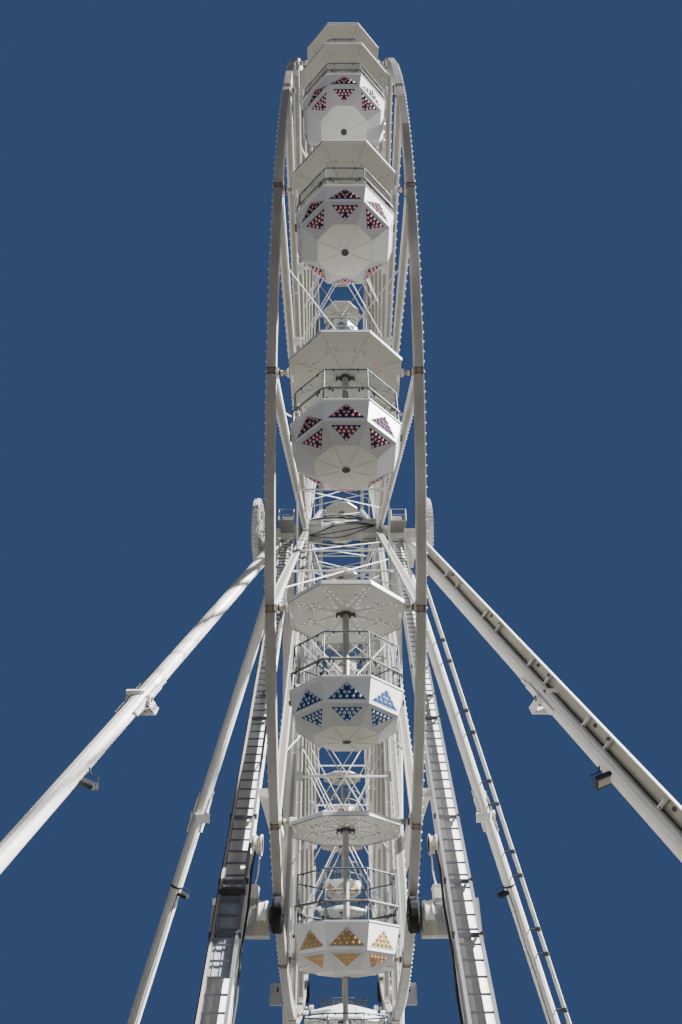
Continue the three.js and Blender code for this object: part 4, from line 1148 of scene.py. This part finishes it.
bulb_pink = weathered("bulb_pink", (0.88, 0.30, 0.27, 1), (0.60, 0.16, 0.15, 1), 0.3, 0.05, 0.12, grain=0.02)
# The canopy bulbs are one white bulb in two copies: the white one glows faintly as painted light, and the cream
# one further down is the same bulb darkened as painted shade.
bulb_white = weathered("bulb_white", (0.95, 0.95, 0.93, 1), (0.80, 0.78, 0.72, 1), 0.2, 0.05, 0.1, grain=0.02)
bulb_painted_glow = bulb_white.node_tree.nodes["Principled BSDF"]
bulb_painted_glow.inputs["Emission Color"].default_value = (1.0, 0.98, 0.92, 1)
bulb_painted_glow.inputs["Emission Strength"].default_value = 0.35
bulb_cream = weathered("bulb_cream", (0.66, 0.63, 0.55, 1), (0.45, 0.42, 0.36, 1), 0.3, 0.05, 0.3, grain=0.02)
bulb_smoke = weathered("bulb_smoke", (0.36, 0.42, 0.50, 1), (0.20, 0.22, 0.25, 1), 0.3, 0.05, 0.12, grain=0.02)
ring_white = weathered("ring_white", (0.90, 0.91, 0.92, 1), (0.60, 0.60, 0.60, 1), 0.2, 0.05, 0.2, grain=0.02)
ring_pink = weathered("ring_pink", (0.80, 0.45, 0.42, 1), (0.50, 0.25, 0.25, 1), 0.2, 0.05, 0.2, grain=0.02)
ring_gold = weathered("ring_gold", (0.72, 0.60, 0.34, 1), (0.45, 0.34, 0.18, 1), 0.2, 0.05, 0.2, grain=0.02)
border_blue = weathered("panel_border", (0.50, 0.55, 0.62, 1), (0.28, 0.29, 0.30, 1), 0.3, 0.1, 0.3, grain=0.03)
# Black for the hole in the tub's bottom: painted shade in the opening.
hole_black = weathered("hole_black", (0.02, 0.018, 0.016, 1), (0.06, 0.05, 0.04, 1), 0.4, 0.1, 0.6)
bulb_orange = weathered(
    "bulb_orange", (0.86, 0.26, 0.17, 1), (0.60, 0.20, 0.10, 1), 0.3, 0.05, 0.12, grain=0.02
)
rail_brown = weathered("rail_brown", (0.19, 0.175, 0.165, 1), (0.09, 0.08, 0.07, 1), 0.5, 0.1, 0.45, 0.3)
pole_steel = weathered("pole_steel", (0.46, 0.44, 0.41, 1), (0.20, 0.17, 0.13, 1), 0.5, 0.3, 0.42, 0.4)
hoop_steel = weathered("hoop_steel", (0.13, 0.15, 0.19, 1), (0.08, 0.08, 0.08, 1), 0.4, 0.1, 0.4, 0.3)

clear_sheet, clear_tree, clear_surface = fresh_material("clear_panel")
clear_surface.inputs["Base Color"].default_value = (0.93, 0.96, 0.97, 1)
clear_surface.inputs["IOR"].default_value = 1.12
clear_surface.inputs["Transmission Weight"].default_value = 1.0
place = put(clear_tree, "ShaderNodeTexCoord").outputs["Object"]
scuffs = put(clear_tree, "ShaderNodeTexNoise", {"Vector": place, "Scale": 9, "Detail": 6})
haze = put(clear_tree, "ShaderNodeMapRange", {"Value": scuffs.outputs["Fac"], "To Min": 0.0, "To Max": 0.07})
clear_tree.links.new(haze.outputs[0], clear_surface.inputs["Roughness"])

car = mesh_of("cabin_car", cabin_shape(), shell_white, lower_painted_shade, bottom_painted_shade, underside_painted_shade, navy, bulb_pink,
              hoop_steel, pole_steel, dark_steel, seam_brown, bulb_white, border_blue, hole_black, ring_white,
              rail_brown)
SHEET_WIDE, SHEET_HALF, SHEET_RISES = 0.31, 0.003, ((0.06, 0.37), (0.43, 0.96))
shape = bmesh.new()
band = octagon(RAIL_WIDE - 0.03, TUB_RIM), octagon(RAIL_WIDE - 0.03, HOOP_Z)
for k in range(8):
    for low, high in SHEET_RISES:
        outline = ((-SHEET_WIDE, low), (SHEET_WIDE, low), (SHEET_WIDE, high), (-SHEET_WIDE, high))
        plate(shape, band, k, outline, SHEET_HALF, -SHEET_HALF)
clear = mesh_of("cabin_panels", shape, clear_sheet)
# The last of each scheme is its canopy bulb: the white copy with its painted glow, or the cream copy darkened
# as painted shade.
COLOURS = (
    (gold, bulb_orange, ring_gold, bulb_white), (blue, bulb_smoke, ring_white, bulb_white),
    (navy, bulb_pink, ring_pink, bulb_cream),
)
SCHEME = (0, 1, 2, 2, 2, 2) + (0, 1, 2) * 6
for number in range(BAYS):
    angle = math.radians(FIRST_CABIN + number * 360 / BAYS)
    pivot = AXLE + Vector((0, -PIVOT_RADIUS * math.cos(angle), PIVOT_RADIUS * math.sin(angle)))
    name = f"cabin_{number + 1:02d}"
    own_car, own_panels = car.copy(), clear.copy()
    for own in (own_car, own_panels):
        own.transform(Matrix.Translation(pivot))
    for finish, material in zip((PANEL, BULB, RING, HOOD_BULB), COLOURS[SCHEME[number]]):
        own_car.materials[finish] = material
    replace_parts(piece_of(name + "_car", own_car, name, smooth=True), name)
    piece_of(name + "_panels", own_panels, name)

low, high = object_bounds()
{"cad": [list(cad_low), list(cad_high)], "visual": [list(low), list(high)]}
